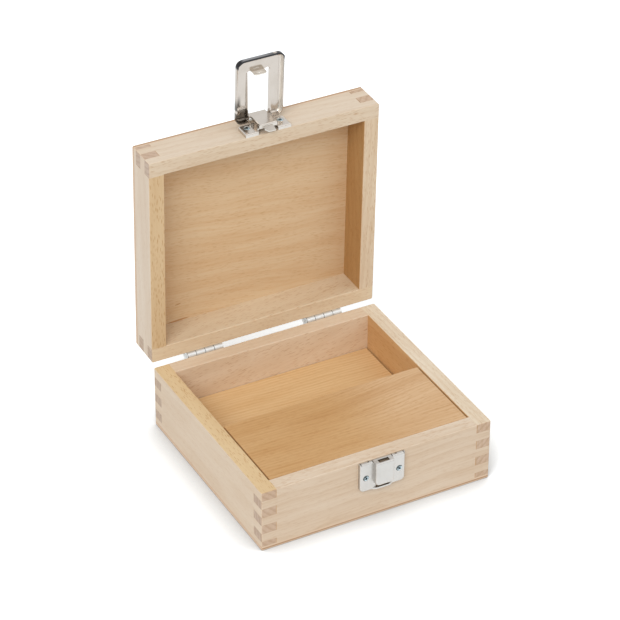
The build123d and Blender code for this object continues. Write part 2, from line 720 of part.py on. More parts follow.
def lever_block(inset):
    """The lever's outside, or the hollow in it: round corners in plan, and a far end that curls in."""
    face = FRONT_Y - LEVER_FACE + inset
    end = LEVER_BOTTOM + inset
    near = LEVER_TOP - inset
    curl = LEVER_CURL - inset
    turn = acos((curl - LEVER_CURL_DROP) / curl)
    curl_start = end + curl * sin(turn)
    with BuildPart() as block:
        with BuildSketch(latch_plane(LEVER_RIM_STAND_OFF, LEVER_SHIFT)):
            with Locations((0, (end + near) / 2)):
                Rectangle(LEVER_WIDTH - 2 * inset, near - end)
            for row, corner in zip((0, -1), (LEVER_FAR_CORNER, LEVER_NEAR_CORNER)):
                fillet(vertices().group_by(Axis.Y)[row], corner - inset)
        extrude(amount=LEVER_DEPTH - inset)
        with BuildSketch(Plane.YZ.offset(LEVER_X)):
            with BuildLine():
                Polyline(
                    (face + LEVER_CURL_DROP, end),
                    (FRONT_Y, end),
                    (FRONT_Y, near),
                    (face, near),
                    (face, curl_start),
                )
                RadiusArc((face, curl_start), (face + LEVER_CURL_DROP, end), -curl)
            make_face()
        extrude(amount=LEVER_WIDTH / 2, both=True, mode=Mode.INTERSECT)
        web, curled = block.faces().sort_by(Axis.Y)[:2]
        seam = web.edges().filter_by(Axis.X).sort_by(Axis.Z)[0]
        rim = [edge for edge in web.edges() + curled.edges() if not edge.is_same(seam)]
        fillet(rim, LEVER_BEND + SHEET - inset)
    return block.part


WINDOW_BOTTOM = PIVOT_Z - WINDOW_REACH
TAB_TOP = PIVOT_Z - TAB_REACH
TAB_MIDDLE = TAB_TOP - SHEET / 2
WEB_MIDDLE = LEVER_FACE - SHEET / 2
WEB_BACK_Y = FRONT_Y - LEVER_FACE + SHEET

with BuildPart() as latch_lever:
    add(lever_block(0))
    add(lever_block(SHEET), mode=Mode.SUBTRACT)
    # Window, open at the near end
    with BuildSketch(latch_plane(0, LEVER_SHIFT)):
        with Locations((0, (WINDOW_BOTTOM + LEVER_TOP + SHEET) / 2)):
            Rectangle(WINDOW_WIDTH, LEVER_TOP + SHEET - WINDOW_BOTTOM)
        fillet(vertices().group_by(Axis.Y)[0], WINDOW_CORNER)
    extrude(amount=LEVER_FACE, mode=Mode.SUBTRACT)
    # Lips along the window, deeper towards the pivot, where they end in ears for the pin
    for side in (-1, 1):
        with BuildSketch(Plane.YZ.offset(LEVER_X + side * (WINDOW_WIDTH + SHEET) / 2)):
            Polygon(
                (FRONT_Y - WEB_MIDDLE, WINDOW_BOTTOM + WINDOW_CORNER),
                (WEB_BACK_Y + LIP_FAR, WINDOW_BOTTOM + WINDOW_CORNER),
                (WEB_BACK_Y + LIP_NEAR, PIVOT_Z - EAR_LENGTH),
                (FRONT_Y - LEVER_RIM_STAND_OFF, PIVOT_Z - EAR_LENGTH),
                (FRONT_Y - LEVER_RIM_STAND_OFF, LEVER_TOP),
                (FRONT_Y - WEB_MIDDLE, LEVER_TOP),
                align=None,
            )
        extrude(amount=SHEET / 2, both=True)
    # Holes for the pin
    with BuildSketch(Plane.YZ.offset(LEVER_X)):
        with Locations((PIVOT_Y, PIVOT_Z)):
            Circle(LEVER_PIN_RADIUS + PIN_SEAT_CLEARANCE)
    extrude(amount=WINDOW_WIDTH / 2 + SHEET, both=True, mode=Mode.SUBTRACT)
    # Tab, bent in from the far end of the window, with a root that widens towards the web
    with BuildSketch(latch_plane(LEVER_FACE - SHEET, LEVER_SHIFT)):
        Polygon(
            (-TAB_ROOT_WIDTH / 2, WINDOW_BOTTOM),
            (TAB_ROOT_WIDTH / 2, WINDOW_BOTTOM),
            (TAB_WIDTH / 2, TAB_TOP - SHEET),
            (-TAB_WIDTH / 2, TAB_TOP - SHEET),
            align=None,
        )
    extrude(amount=SHEET)
    with BuildSketch(Plane.YZ.offset(LEVER_X)):
        with Locations((FRONT_Y - (TAB_TIP_STAND_OFF + LEVER_FACE) / 2, TAB_MIDDLE)):
            Rectangle(LEVER_FACE - TAB_TIP_STAND_OFF, SHEET)
        with Locations((FRONT_Y - WEB_MIDDLE, (TAB_TOP + WINDOW_BOTTOM - SHEET) / 2)):
            Rectangle(SHEET, TAB_TOP - WINDOW_BOTTOM + SHEET)
        fillet(vertices().sort_by(Axis.X)[:2].sort_by(Axis.Y)[-1], TAB_BEND)
    extrude(amount=TAB_WIDTH / 2, both=True)
    tip_edges = latch_lever.edges().filter_by(Axis.Z).group_by(Axis.Y)[-1]
    fillet(tip_edges, TAB_CORNER)
    with BuildSketch(Plane.XY.offset(TAB_MIDDLE)):
        with Locations((LEVER_X, FRONT_Y - TAB_SLOT_STAND_OFF)):
            SlotOverall(TAB_SLOT_WIDTH, TAB_SLOT_HEIGHT)
    extrude(amount=SHEET, both=True, mode=Mode.SUBTRACT)

latch_lever.part = opened(latch_lever.part.rotate(PIVOT_AXIS, -LEVER_RAISED))
latch_lever.part.label = "latch_lever"
export_step(latch_lever.part, "parts/latch_lever.step")

with BuildPart() as latch_pin:
    with BuildSketch(Plane.YZ.offset(LEVER_X)):
        with Locations((PIVOT_Y, PIVOT_Z)):
            Circle(LEVER_PIN_RADIUS)
    extrude(amount=WINDOW_WIDTH / 2 + SHEET, both=True)
    chamfer(latch_pin.edges().filter_by(GeomType.CIRCLE), LEVER_PIN_EASE)

latch_pin.part = opened(latch_pin.part.rotate(PIVOT_AXIS, -LEVER_RAISED))
latch_pin.part.label = "latch_pin"
export_step(latch_pin.part, "parts/latch_pin.step")
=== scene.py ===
"""Looks of a small finger-jointed wooden case with a pressed toggle latch, standing open.

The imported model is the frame. Its boards, hinges and pins keep their place and shape and get their
wood or metal here. The screws and the latch's pressed pieces are modelled here and stand for their
nodes. Sizes are in metres, and lengths inside the wood's shaders are in millimetres.
"""

import json
import logging
import math
from dataclasses import dataclass, field
from enum import Enum
from typing import Callable, Mapping, Sequence, Union

import bmesh
import bpy
from mathutils import Matrix, Vector


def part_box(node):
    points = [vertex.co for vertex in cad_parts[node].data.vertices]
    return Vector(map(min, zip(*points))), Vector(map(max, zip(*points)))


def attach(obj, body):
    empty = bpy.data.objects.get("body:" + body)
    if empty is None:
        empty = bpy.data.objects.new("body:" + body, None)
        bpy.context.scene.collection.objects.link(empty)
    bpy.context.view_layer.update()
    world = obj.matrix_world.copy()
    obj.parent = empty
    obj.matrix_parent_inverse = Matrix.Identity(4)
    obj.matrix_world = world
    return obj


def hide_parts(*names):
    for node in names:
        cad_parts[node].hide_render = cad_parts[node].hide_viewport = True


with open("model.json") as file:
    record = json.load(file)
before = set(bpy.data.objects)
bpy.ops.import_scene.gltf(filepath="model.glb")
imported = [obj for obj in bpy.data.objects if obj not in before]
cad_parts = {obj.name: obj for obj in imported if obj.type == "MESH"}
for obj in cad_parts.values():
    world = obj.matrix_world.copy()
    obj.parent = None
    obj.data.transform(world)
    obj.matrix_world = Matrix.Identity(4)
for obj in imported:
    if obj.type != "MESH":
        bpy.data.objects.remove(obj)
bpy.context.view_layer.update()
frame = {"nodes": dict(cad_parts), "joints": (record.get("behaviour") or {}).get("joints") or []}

log = logging.getLogger("case")

Colour = tuple[float, float, float]
Socket = bpy.types.NodeSocket
Material = bpy.types.Material

MM = 0.001


def srgb(red: int, green: int, blue: int) -> Colour:
    """Turn a colour as a screen shows it into the linear values that a shader takes.

    Args:
        red: Red, from 0 to 255.
        green: Green, from 0 to 255.
        blue: Blue, from 0 to 255.

    Returns:
        The three linear values.
    """
    def linear(channel: int) -> float:
        """Linear value of one channel."""
        share = channel / 255
        return share / 12.92 if share <= 0.04045 else ((share + 0.055) / 1.055) ** 2.4

    return linear(red), linear(green), linear(blue)


class Axis(Enum):
    """An axis of the closed case, as an index into a point."""

    X = 0
    Y = 1
    Z = 2


class Value:
    """A number on a shader socket that takes part in sums and products."""

    def __init__(self, bench: "Bench", socket: Socket) -> None:
        """Wrap a socket.

        Args:
            bench: The material's bench, which makes the Math nodes.
            socket: The output socket that carries the number.
        """
        self.bench = bench
        self.socket = socket

    def math(self, operation: str, *others: "Number", first: bool = True) -> "Value":
        """Add one Math node.

        Args:
            operation: The node's operation.
            others: The other numbers that go in.
            first: Whether this value is the node's first input, or else its second.

        Returns:
            The result.
        """
        terms = [self, *others] if first else [*others, self]
        node = self.bench.node("ShaderNodeMath", {"operation": operation}, dict(enumerate(terms)))
        return Value(self.bench, node.outputs[0])

    def __add__(self, other: "Number") -> "Value":
        """Sum."""
        return self.math("ADD", other)

    def __radd__(self, other: "Number") -> "Value":
        """Sum, reflected."""
        return self.math("ADD", other)

    def __sub__(self, other: "Number") -> "Value":
        """Difference."""
        return self.math("SUBTRACT", other)

    def __rsub__(self, other: "Number") -> "Value":
        """Difference, reflected."""
        return self.math("SUBTRACT", other, first=False)

    def __mul__(self, other: "Number") -> "Value":
        """Product."""
        return self.math("MULTIPLY", other)

    def __rmul__(self, other: "Number") -> "Value":
        """Product, reflected."""
        return self.math("MULTIPLY", other)

    def __truediv__(self, other: "Number") -> "Value":
        """Quotient."""
        return self.math("DIVIDE", other)

    def __rtruediv__(self, other: "Number") -> "Value":
        """Quotient, reflected."""
        return self.math("DIVIDE", other, first=False)

    def __abs__(self) -> "Value":
        """Size without its sign."""
        return self.math("ABSOLUTE")

    def fraction(self) -> "Value":
        """Part after the point, from 0 to 1."""
        return self.math("FRACT")

    def span(self, other: "Value") -> "Value":
        """Length of the hypotenuse over two legs."""
        return (self * self + other * other).math("SQRT")

    def most(self, other: "Number") -> "Value":
        """The larger of two."""
        return self.math("MAXIMUM", other)

    def rise(self, low: float, high: float) -> "Value":
        """Climb smoothly from 0 to 1.

        Args:
            low: Where the climb starts.
            high: Where it ends; below low, it falls instead.

        Returns:
            0 before the climb and 1 after it.
        """
        if low < high:
            return self._step(low, high)
        return 1.0 - self._step(high, low)

    def _step(self, low: float, high: float) -> "Value":
        """Climb smoothly between two values in rising order.

        Args:
            low: Where the climb starts.
            high: Where it ends.

        Returns:
            0 below and 1 above.
        """
        node = self.bench.node(
            "ShaderNodeMapRange",
            {"interpolation_type": "SMOOTHSTEP"},
            {"Value": self, "From Min": low, "From Max": high},
        )
        return Value(self.bench, node.outputs["Result"])


Number = Union[Value, float, int]
Input = Union[Number, Sequence[float], Socket]
Point = tuple[Value, Value, Value]


class Bench:
    """The shader of a material or of the world, and the nodes on it."""

    def __init__(self, owner: Material | bpy.types.World) -> None:
        """Clear the owner's shader down to its output.

        Args:
            owner: The material or the world.
        """
        self.owner = owner
        owner.use_nodes = True
        self.tree = owner.node_tree
        self.tree.nodes.clear()
        is_world = isinstance(owner, bpy.types.World)
        self.output = self.node("ShaderNodeOutputWorld" if is_world else "ShaderNodeOutputMaterial")

    @classmethod
    def for_material(cls, name: str) -> "Bench":
        """Start a new material of that name."""
        return cls(bpy.data.materials.new(name))

    def node(
        self,
        kind: str,
        settings: Mapping[str, object] | None = None,
        inputs: Mapping[str | int, Input] | None = None,
    ) -> bpy.types.Node:
        """Add a node.

        Args:
            kind: The node's type.
            settings: Its settings, set before the sockets.
            inputs: The values or links of its sockets, by name or number.

        Returns:
            The new node.
        """
        node = self.tree.nodes.new(kind)
        for name, value in (settings or {}).items():
            setattr(node, name, value)
        for key, value in (inputs or {}).items():
            source = value.socket if isinstance(value, Value) else value
            if isinstance(source, Socket):
                self.tree.links.new(source, node.inputs[key])
            elif isinstance(source, (int, float)):
                node.inputs[key].default_value = float(source)
            else:
                size = len(node.inputs[key].default_value)
                node.inputs[key].default_value = [*source, 1.0][:size]
        return node

    def split(self, vector: Socket) -> Point:
        """Take a vector apart.

        Args:
            vector: The socket with the vector.

        Returns:
            Its three coordinates.
        """
        parts = self.node("ShaderNodeSeparateXYZ", None, {0: vector})
        x, y, z = (Value(self, output) for output in parts.outputs)
        return x, y, z

    def place(self) -> Point:
        """The surface point in the piece's own coordinates, in metres."""
        return self.split(self.node("ShaderNodeTexCoord").outputs["Object"])

    def rays(self) -> tuple[Value, Value]:
        """1 for what the camera sees, and 1 for what a mirror sees, both directly; 0 otherwise."""
        outputs = self.node("ShaderNodeLightPath").outputs
        return Value(self, outputs["Is Camera Ray"]), Value(self, outputs["Is Glossy Ray"])

    def cells(self, point: Point) -> Value:
        """How far a point is from the nearest of many scattered spots, one to each unit cell.

        Args:
            point: The three coordinates, in cells.

        Returns:
            The distance, 0 at a spot.
        """
        vector = self.node("ShaderNodeCombineXYZ", None, dict(enumerate(point)))
        node = self.node(
            "ShaderNodeTexVoronoi",
            {"voronoi_dimensions": "3D", "feature": "F1"},
            {"Vector": vector.outputs[0], "Scale": 1.0, "Randomness": 0.9},
        )
        return Value(self, node.outputs["Distance"])

    def mix(self, start: Input, end: Input, factor: Number, blend: str = "MIX") -> Socket:
        """Mix two colours.

        Args:
            start: Colour at factor 0.
            end: Colour at factor 1, or the one that is blended in.
            factor: How much of the second.
            blend: The way of blending.

        Returns:
            The socket with the mixed colour.
        """
        node = self.node(
            "ShaderNodeMix",
            {"data_type": "RGBA", "blend_type": blend, "clamp_factor": True},
            {0: factor, 6: start, 7: end},
        )
        return node.outputs[2]

    def finish(self, inputs: Mapping[str | int, Input]) -> Material:
        """Close the material with a surface.

        Args:
            inputs: The sockets of the surface shader.

        Returns:
            The material.
        """
        surface = self.node("ShaderNodeBsdfPrincipled", None, inputs)
        self.close(surface.outputs[0])
        return self.owner

    def close(self, shader: Socket) -> None:
        """Lead a shader to the output."""
        self.tree.links.new(shader, self.output.inputs["Surface"])

    def tint(self, colour: Input, tint: Colour, amount: Number) -> Socket:
        """Multiply a colour by a tint.

        Args:
            colour: The colour.
            tint: What it is multiplied by.
            amount: Share of the tint, from 0 to 1.

        Returns:
            The socket with the tinted colour.
        """
        return self.mix(colour, tint, amount, "MULTIPLY")

    def bump(self, height: Number, strength: float, distance: float) -> Socket:
        """Turn a height into a normal.

        Args:
            height: The height, from 0 to 1.
            strength: Share of the height that shows.
            distance: Height of 1, in metres.

        Returns:
            The socket with the normal.
        """
        node = self.node(
            "ShaderNodeBump", None, {"Height": height, "Strength": strength, "Distance": distance}
        )
        return node.outputs["Normal"]


def put_on(node: str, material: Material) -> None:
    """Give a node of the frame its material.

    Args:
        node: The node's name.
        material: The material for all its slots.
    """
    mesh = frame["nodes"][node].data
    if not mesh.materials:
        mesh.materials.append(material)
    for index in range(len(mesh.materials)):
        mesh.materials[index] = material
    log.info("%s wears %s", node, material.name)


def add(name: str, data: bpy.types.ID) -> bpy.types.Object:
    """Add an object to the scene.

    Args:
        name: Its name.
        data: Its mesh, light or camera.

    Returns:
        The object.
    """
    thing = bpy.data.objects.new(name, data)
    bpy.context.scene.collection.objects.link(thing)
    return thing


@dataclass(frozen=True)
class Pattern:
    """Smooth noise that is drawn out one way, as the marks of wood are.

    The sizes are the lengths of one period along the three coordinates. A seed moves the pattern
    along the seeded ones. The pattern shows from one level of the noise on, and fully at the other.
    """

    sizes: tuple[float, float, float]
    seeded: tuple[int, ...] = (0,)
    detail: float = 2.0
    roughness: float = 0.5
    shows: tuple[float, float] = (0.0, 1.0)

    def noise(self, point: Point, seed: float = 0.0) -> Value:
        """Lay the noise over a piece.

        Args:
            point: The place, in the units of the sizes.
            seed: How far the pattern is moved, in periods.

        Returns:
            The noise, from 0 to 1 about a middle of 0.5.
        """
        periods = [place / size for place, size in zip(point, self.sizes)]
        for index in self.seeded:
            periods[index] += seed
        bench = point[0].bench
        vector = bench.node("ShaderNodeCombineXYZ", None, dict(enumerate(periods)))
        node = bench.node(
            "ShaderNodeTexNoise",
            {"noise_dimensions": "3D"},
            {
                "Vector": vector.outputs[0],
                "Scale": 1.0,
                "Detail": self.detail,
                "Roughness": self.roughness,
            },
        )
        return Value(bench, node.outputs["Fac"])

    def marks(self, point: Point, seed: float = 0.0) -> Value:
        """How far the pattern shows at a place, from 0 to 1."""
        return self.noise(point, seed).rise(*self.shows)


@dataclass(frozen=True)
class Skin:
    """How near to a face a point lies to belong to it: just, and in full."""

    starts: float
    full: float

    def above(self, place: Value, face: float = 0.0) -> Value:
        """1 just above a face, and 0 further up."""
        return place.rise(face + self.starts, face + self.full)

    def below(self, place: Value, face: float) -> Value:
        """1 just below a face, and 0 further down."""
        return place.rise(face - self.starts, face - self.full)


@dataclass(frozen=True)
class YearLine:
    """Where in a year, which counts from 0 to 1, the wood darkens, is darkest and clears."""

    darkens: float
    darkest: float
    clears: float

    def over(self, years: Value) -> Value:
        """How dark the wood is at a place that is counted in years."""
        year = years.fraction()
        return year.rise(self.darkens, self.darkest) * year.rise(1.0, self.clears)


@dataclass(frozen=True)
class Flecks:
    """The short dark dashes that beech shows in rows along its grain.

    The length and the width are those of one dash's cell in millimetres. The edge and the core are
    distances from its middle, in cells.
    """

    length: float = 5.6
    width: float = 0.72
    edge: float = 0.38
    core: float = 0.16
    rows: Pattern = Pattern((18, 6, 6), seeded=(1,), detail=1, shows=(0.25, 0.60))
    between_rows: float = 0.3

    def marks(self, point: Point, seed: float) -> Value:
        """Draw the dashes.

        Args:
            point: The place along, across and through the board, in millimetres.
            seed: Moves the dashes.

        Returns:
            1 in the middle of a dash and 0 between dashes.
        """
        along, across, through = point
        cell = (along / self.length + seed, across / self.width, through / self.width)
        in_row = self.rows.marks(point, seed) * (1 - self.between_rows) + self.between_rows
        return along.bench.cells(cell).rise(self.edge, self.core) * in_row


@dataclass(frozen=True)
class Planing:
    """Gloss and grooves of planed wood, with the depth of the grooves in metres."""

    roughness: float = 0.47
    fleck_roughness: float = 0.14
    specular: float = 0.3
    strength: float = 0.4
    depth: float = 0.06 * MM

    def finish(self, colour: Socket, flecks: Value, grooves: Value) -> Material:
        """Close a material of wood.

        Args:
            colour: The wood's colour.
            flecks: 1 in a fleck, which is duller.
            grooves: How deep the surface lies, from 0 to 1.

        Returns:
            The material.
        """
        bench = flecks.bench
        return bench.finish(
            {
                "Base Color": colour,
                "Roughness": flecks * self.fleck_roughness + self.roughness,
                "Specular IOR Level": self.specular,
                "Normal": bench.bump(1.0 - grooves, self.strength, self.depth),
            }
        )


@dataclass(frozen=True)
class Timber:
    """One kind of wood, as tints that multiply a board's own tone."""

    name: str
    deep: Colour
    line: Colour
    fleck: Colour
    end_line: Colour


BEECH = Timber(
    name="beech",
    deep=(0.90, 0.84, 0.77),
    line=(0.86, 0.77, 0.67),
    fleck=(0.76, 0.62, 0.49),
    end_line=(0.80, 0.74, 0.69),
)
HONEY_BEECH = Timber(
    name="honey_beech",
    deep=(0.93, 0.87, 0.78),
    line=(0.82, 0.71, 0.57),
    fleck=(0.76, 0.62, 0.46),
    end_line=(0.82, 0.74, 0.64),
)


@dataclass(frozen=True)
class Tones:
    """Tones of a board: outside or top, inside, and along the rim. On the walls the inside tone is
    partly the wood's own honey colour and partly painted shade of the tray's inside.
    """

    outer: Colour
    inner: Colour
    rim: Colour


@dataclass(frozen=True)
class Cut:
    """How a board was sawn from the trunk: where the pith is, seen from the board's middle.

    Lengths are in millimetres. The pith lies beside the board across its width and behind its face,
    and nears it along the grain by the taper, which draws the pointed arches of a flat-sawn face.
    The slope is how far the grain runs off the board's edge. The rest says how strongly each mark
    shows.
    """

    pith_across: float
    pith_behind: float
    taper: float = 0.02
    ring: float = 3.4
    waver: float = 6.0
    slope: float = 0.03
    rings: float = 0.35
    streaks: float = 0.35
    clouds: float = 0.5
    flecks: float = 0.35
    rim_flecks: float = 0.7
    inner_flecks: float = 0.6


@dataclass(frozen=True)
class Ends:
    """The sawn ends of a board's fingers, with their year lines and pores.

    The lean is the angle of the year lines in radians. A year and the sway are in millimetres.
    """

    lean: float = -0.8
    tint: Colour = (0.87, 0.79, 0.76)
    year: float = 3.5
    sway: float = 2.4
    waver: Pattern = Pattern((30, 9, 9), seeded=(1,), detail=1)
    pores: Pattern = Pattern((4, 0.6, 0.6), seeded=(2,), detail=1, shows=(0.4, 0.7))
    line: YearLine = YearLine(0.35, 0.75, 0.82)
    line_share: float = 0.55
    pore_share: float = 0.15

    def years(self, point: Point, seed: float) -> Value:
        """Draw the year lines and the pores.

        Args:
            point: The place along, across and through the board, in millimetres.
            seed: Moves the pattern.

        Returns:
            0 between the lines and up to 1 on them.
        """
        _, level, through = point
        over = level * math.sin(self.lean) + through * math.cos(self.lean)
        lines = self.line.over((over + self.waver.noise(point, seed) * self.sway) / self.year)
        return lines * self.line_share + self.pores.marks(point, seed) * self.pore_share


@dataclass(frozen=True)
class Sweep:
    """Growth lines that run along the block at its left and climb across it towards its right.

    Lengths are in millimetres from the block's middle. Each pair says where a change starts and
    where it ends.
    """

    climb: float = 11.0
    climbs: tuple[float, float] = (-14.0, 84.0)
    leaves_calm: tuple[float, float] = (-18.0, 14.0)
    band: float = 13.0
    band_half_width: float = 7.0
    darkens: tuple[float, float] = (-48.0, -8.0)
    band_share: float = 0.42
    pales: tuple[float, float] = (-8.0, 48.0)

    def bend(self, along: Value, across: Value) -> Value:
        """Straighten the lines: a coordinate that is the same all along a growth line."""
        return across - along.rise(*self.climbs) * across.rise(*self.leaves_calm) * self.climb

    def shadow(self, line: Value, along: Value) -> Value:
        """How far a point lies in the dark band across the block's middle."""
        band = abs(line - self.band).rise(self.band_half_width, 0.0)
        return band * along.rise(*self.darkens) * self.band_share

    def pale(self, along: Value) -> Value:
        """How far a point lies in the paler, greyer wood at the right."""
        return along.rise(*self.pales)


@dataclass(frozen=True)
class Board:
    """Tones and sawing of one board."""

    tones: Tones
    cut: Cut
    ends: Ends = Ends()
    sweep: Sweep | None = None


@dataclass(frozen=True)
class Seat:
    """Where a board lies in the closed case, in millimetres."""

    middle: tuple[float, float, float]
    grain: Axis
    across: Axis
    through: Axis
    half_length: float
    half_thickness: float
    outward: float = 1.0


class ClosedPlace:
    """The place of a surface point in the closed case, in whatever pose the board was packed."""

    def __init__(self, bench: Bench, hinge: Vector, opened: float) -> None:
        """Read the piece's own coordinates and turn them back.

        Args:
            bench: The material's bench.
            hinge: A point on the hinge axis, in metres.
            opened: How far the board stands open, in radians; 0 for the base.
        """
        back = Matrix.Rotation(opened, 4, "X")
        shift = hinge - back @ hinge
        source = bench.node("ShaderNodeTexCoord").outputs["Object"]
        turned = bench.node(
            "ShaderNodeMapping",
            {"vector_type": "POINT"},
            {
                "Vector": source,
                "Location": [c / MM for c in shift],
                "Rotation": [opened, 0.0, 0.0],
                "Scale": [1 / MM] * 3,
            },
        )
        self.point = bench.split(turned.outputs[0])

    def __getitem__(self, axis: Axis) -> Value:
        """Coordinate along one axis, in millimetres."""
        return self.point[axis.value]


@dataclass(frozen=True)
class Joint:
    """The finger joint at the corners of a tray and its glue lines, in millimetres."""

    rim: float
    pitch: float
    wall: float
    half_width: float
    half_depth: float
    glue: Colour = (0.80, 0.70, 0.60)
    strength: float = 0.4
    line: Skin = Skin(0.24, 0.06)
    blur: float = 0.1
    first_step: tuple[float, float] = (0.3, 0.4)

    def lines(self, place: ClosedPlace) -> Value:
        """Find the hair-thin lines where the fingers of two boards meet.

        Args:
            place: The place in the closed case.

        Returns:
            How strongly the glue shows.
        """
        over_x, over_y = (
            abs(place[axis]).rise(half - self.wall - self.blur, half - self.wall + self.blur)
            for axis, half in ((Axis.X, self.half_width), (Axis.Y, self.half_depth))
        )
        steps = abs(place[Axis.Z] - self.rim) / self.pitch
        nearest = abs((steps + 0.5).fraction() - 0.5) * self.pitch
        line = self.line.above(nearest) * over_x * over_y * steps.rise(*self.first_step)
        return line * self.strength


@dataclass
class Joiner:
    """Makes the wood of single boards, each cut differently."""

    hinge: Vector
    opened: float
    clouds: Pattern = Pattern((75, 13, 13), shows=(0.36, 0.66))
    streaks: Pattern = Pattern((42, 1.25, 1.25), detail=3, roughness=0.6, shows=(0.44, 0.72))
    waver: Pattern = Pattern((45, 26, 26), seeded=(0, 2))
    ring_line: YearLine = YearLine(0.25, 0.9, 0.93)
    flecks: Flecks = Flecks()
    planing: Planing = Planing()
    streak_groove: float = 0.35
    fleck_groove: float = 0.65
    inner_face: Skin = Skin(0.5, 0.15)
    rim_face: Skin = Skin(0.3, 0.12)
    end_face: Skin = Skin(0.35, 0.1)

    def wood(
        self,
        name: str,
        timber: Timber,
        board: Board,
        seat: Seat,
        seed: float,
        joint: Joint | None = None,
    ) -> Material:
        """Make the wood of one board.

        Args:
            name: Name of the board.
            timber: The kind of wood.
            board: The board's tones and how it was sawn.
            seat: Where it lies.
            seed: Moves the pattern, so that no two boards are alike.
            joint: The joint at its ends, if it has one.

        Returns:
            The material.
        """
        bench = Bench.for_material(f"{timber.name}_{name}")
        place = ClosedPlace(bench, self.hinge, self.opened)
        cut, sweep = board.cut, board.sweep
        along = place[seat.grain] - seat.middle[seat.grain.value]
        level = place[seat.across] - seat.middle[seat.across.value]
        through = (place[seat.through] - seat.middle[seat.through.value]) * seat.outward
        across = level + along * cut.slope
        if sweep:
            across = sweep.bend(along, across)
        point = (along, across, through)

        rim = self.rim_face.above(abs(place[Axis.Z] - joint.rim)) if joint else 0.0
        inside = self.inner_face.above(through, -seat.half_thickness)
        # The inside tone is partly the wood's own colour and partly painted shade of the tray's
        # inside.
        colour = bench.mix(board.tones.outer, board.tones.inner, inside)
        colour = bench.mix(colour, board.tones.rim, rim)
        if sweep:
            colour = bench.mix(colour, board.tones.rim, sweep.pale(along))
            colour = bench.tint(colour, timber.line, sweep.shadow(across, along))

        streaks = self.streaks.noise(point, seed)
        flecks = self.flecks.marks(point, seed)
        more_at_rim, more_inside = cut.rim_flecks - cut.flecks, cut.inner_flecks - cut.flecks
        fleck_share = rim * more_at_rim + inside * more_inside + cut.flecks
        for tint, share in (
            (timber.deep, self.clouds.marks(point, seed) * cut.clouds),
            (timber.line, self._rings(point, cut, seed) * cut.rings),
            (timber.line, streaks.rise(*self.streaks.shows) * cut.streaks),
            (timber.fleck, flecks * fleck_share),
        ):
            colour = bench.tint(colour, tint, share)
        if joint:
            on_end = self.end_face.below(abs(along), seat.half_length)
            years = board.ends.years((along, level, through), seed)
            colour = bench.tint(colour, board.ends.tint, on_end)
            colour = bench.tint(colour, timber.end_line, on_end * years)
            colour = bench.tint(colour, joint.glue, joint.lines(place))
        grooves = streaks * self.streak_groove + flecks * self.fleck_groove
        return self.planing.finish(colour, flecks, grooves)

    def _rings(self, point: Point, cut: Cut, seed: float) -> Value:
        """Draw the growth rings.

        Args:
            point: The place along, across and through the board, in millimetres.
            cut: How the board was sawn.
            seed: Moves the pattern.

        Returns:
            0 in the early wood, and up to 1 at the end of a year.
        """
        along, across, through = point
        waver = self.waver.noise(point, seed) - 0.5
        radius = (across - cut.pith_across).span(through + cut.pith_behind)
        return self.ring_line.over((radius + along * cut.taper + waver * cut.waver) / cut.ring)


@dataclass(frozen=True)
class Knot:
    """A reddish streak in the plywood's face, in millimetres in the closed case.

    Within the core, a squared share of its size, the streak is darkest.
    """

    x: float
    y: float
    half_length: float
    half_width: float
    slope: float = 0.0
    core: float = 0.25
    strength: float = 0.9

    def share(self, x: Value, y: Value) -> Value:
        """How strongly the streak shows.

        Args:
            x: Place along the front.
            y: Place from front to rear.

        Returns:
            Up to the strength in the core, and 0 outside the streak.
        """
        run = (x - self.x) / self.half_length
        off = (y - self.y - (x - self.x) * self.slope) / self.half_width
        return (run * run + off * off).rise(1.0, self.core) * self.strength


@dataclass(frozen=True)
class PlyFinish:
    """Tones and marks of a plywood panel and its layers.

    Lengths are in millimetres. The slope and the sway are how far the grain runs off the panel's
    edge. Places in the layers count veneers from below.
    """

    name: str = "plywood"
    face: Colour = srgb(221, 192, 154)
    edge: Colour = srgb(220, 194, 166)
    deep: Colour = (0.945, 0.885, 0.82)
    fleck: Colour = (0.80, 0.68, 0.55)
    core: Colour = (0.63, 0.49, 0.40)
    veneer_end: Colour = (0.88, 0.80, 0.74)
    streak: Colour = (0.66, 0.44, 0.30)
    slope: float = 0.10
    sway: float = 9.0
    wave: Pattern = Pattern((70, 30, 9), detail=1)
    bands: Pattern = Pattern((120, 8, 9), shows=(0.34, 0.66))
    band_share: float = 0.8
    fine: Pattern = Pattern((24, 1.4, 4), seeded=(1,), shows=(0.40, 0.68))
    fine_share: float = 0.7
    flecks: Flecks = Flecks()
    fleck_share: float = 0.6
    planing: Planing = Planing(0.46, 0.1, strength=0.3, depth=0.05 * MM)
    edge_face: Skin = Skin(0.45, 0.15)
    layers: int = 3
    waver: float = 0.3
    core_starts: tuple[float, float] = (0.95, 1.15)
    core_ends: tuple[float, float] = (2.0, 1.8)
    glue_at: tuple[float, float] = (1.0, 1.95)
    glue_line: Skin = Skin(0.16, 0.05)
    glue_share: float = 0.5


@dataclass(frozen=True)
class LeverPlace:
    """Where the lever lies, in metres.

    Along points from its foot to its far end, and inward to its hollow side.
    """

    along: Vector
    inward: Vector
    foot: float
    end: float
    face: float
    middle: float
    half_width: float = 16.0 * MM
    far_corner: float = 5.0 * MM
    window_half_width: float = 7.2 * MM

    def measures(self, point: Point) -> Point:
        """Measure where a point lies on the lever.

        Args:
            point: The point, in metres.

        Returns:
            How far it is from the middle line, above the foot and in from the face.
        """
        x, y, z = point
        up = y * self.along.y + z * self.along.z - self.foot
        depth = y * self.inward.y + z * self.inward.z - self.face
        return x - self.middle, up, depth


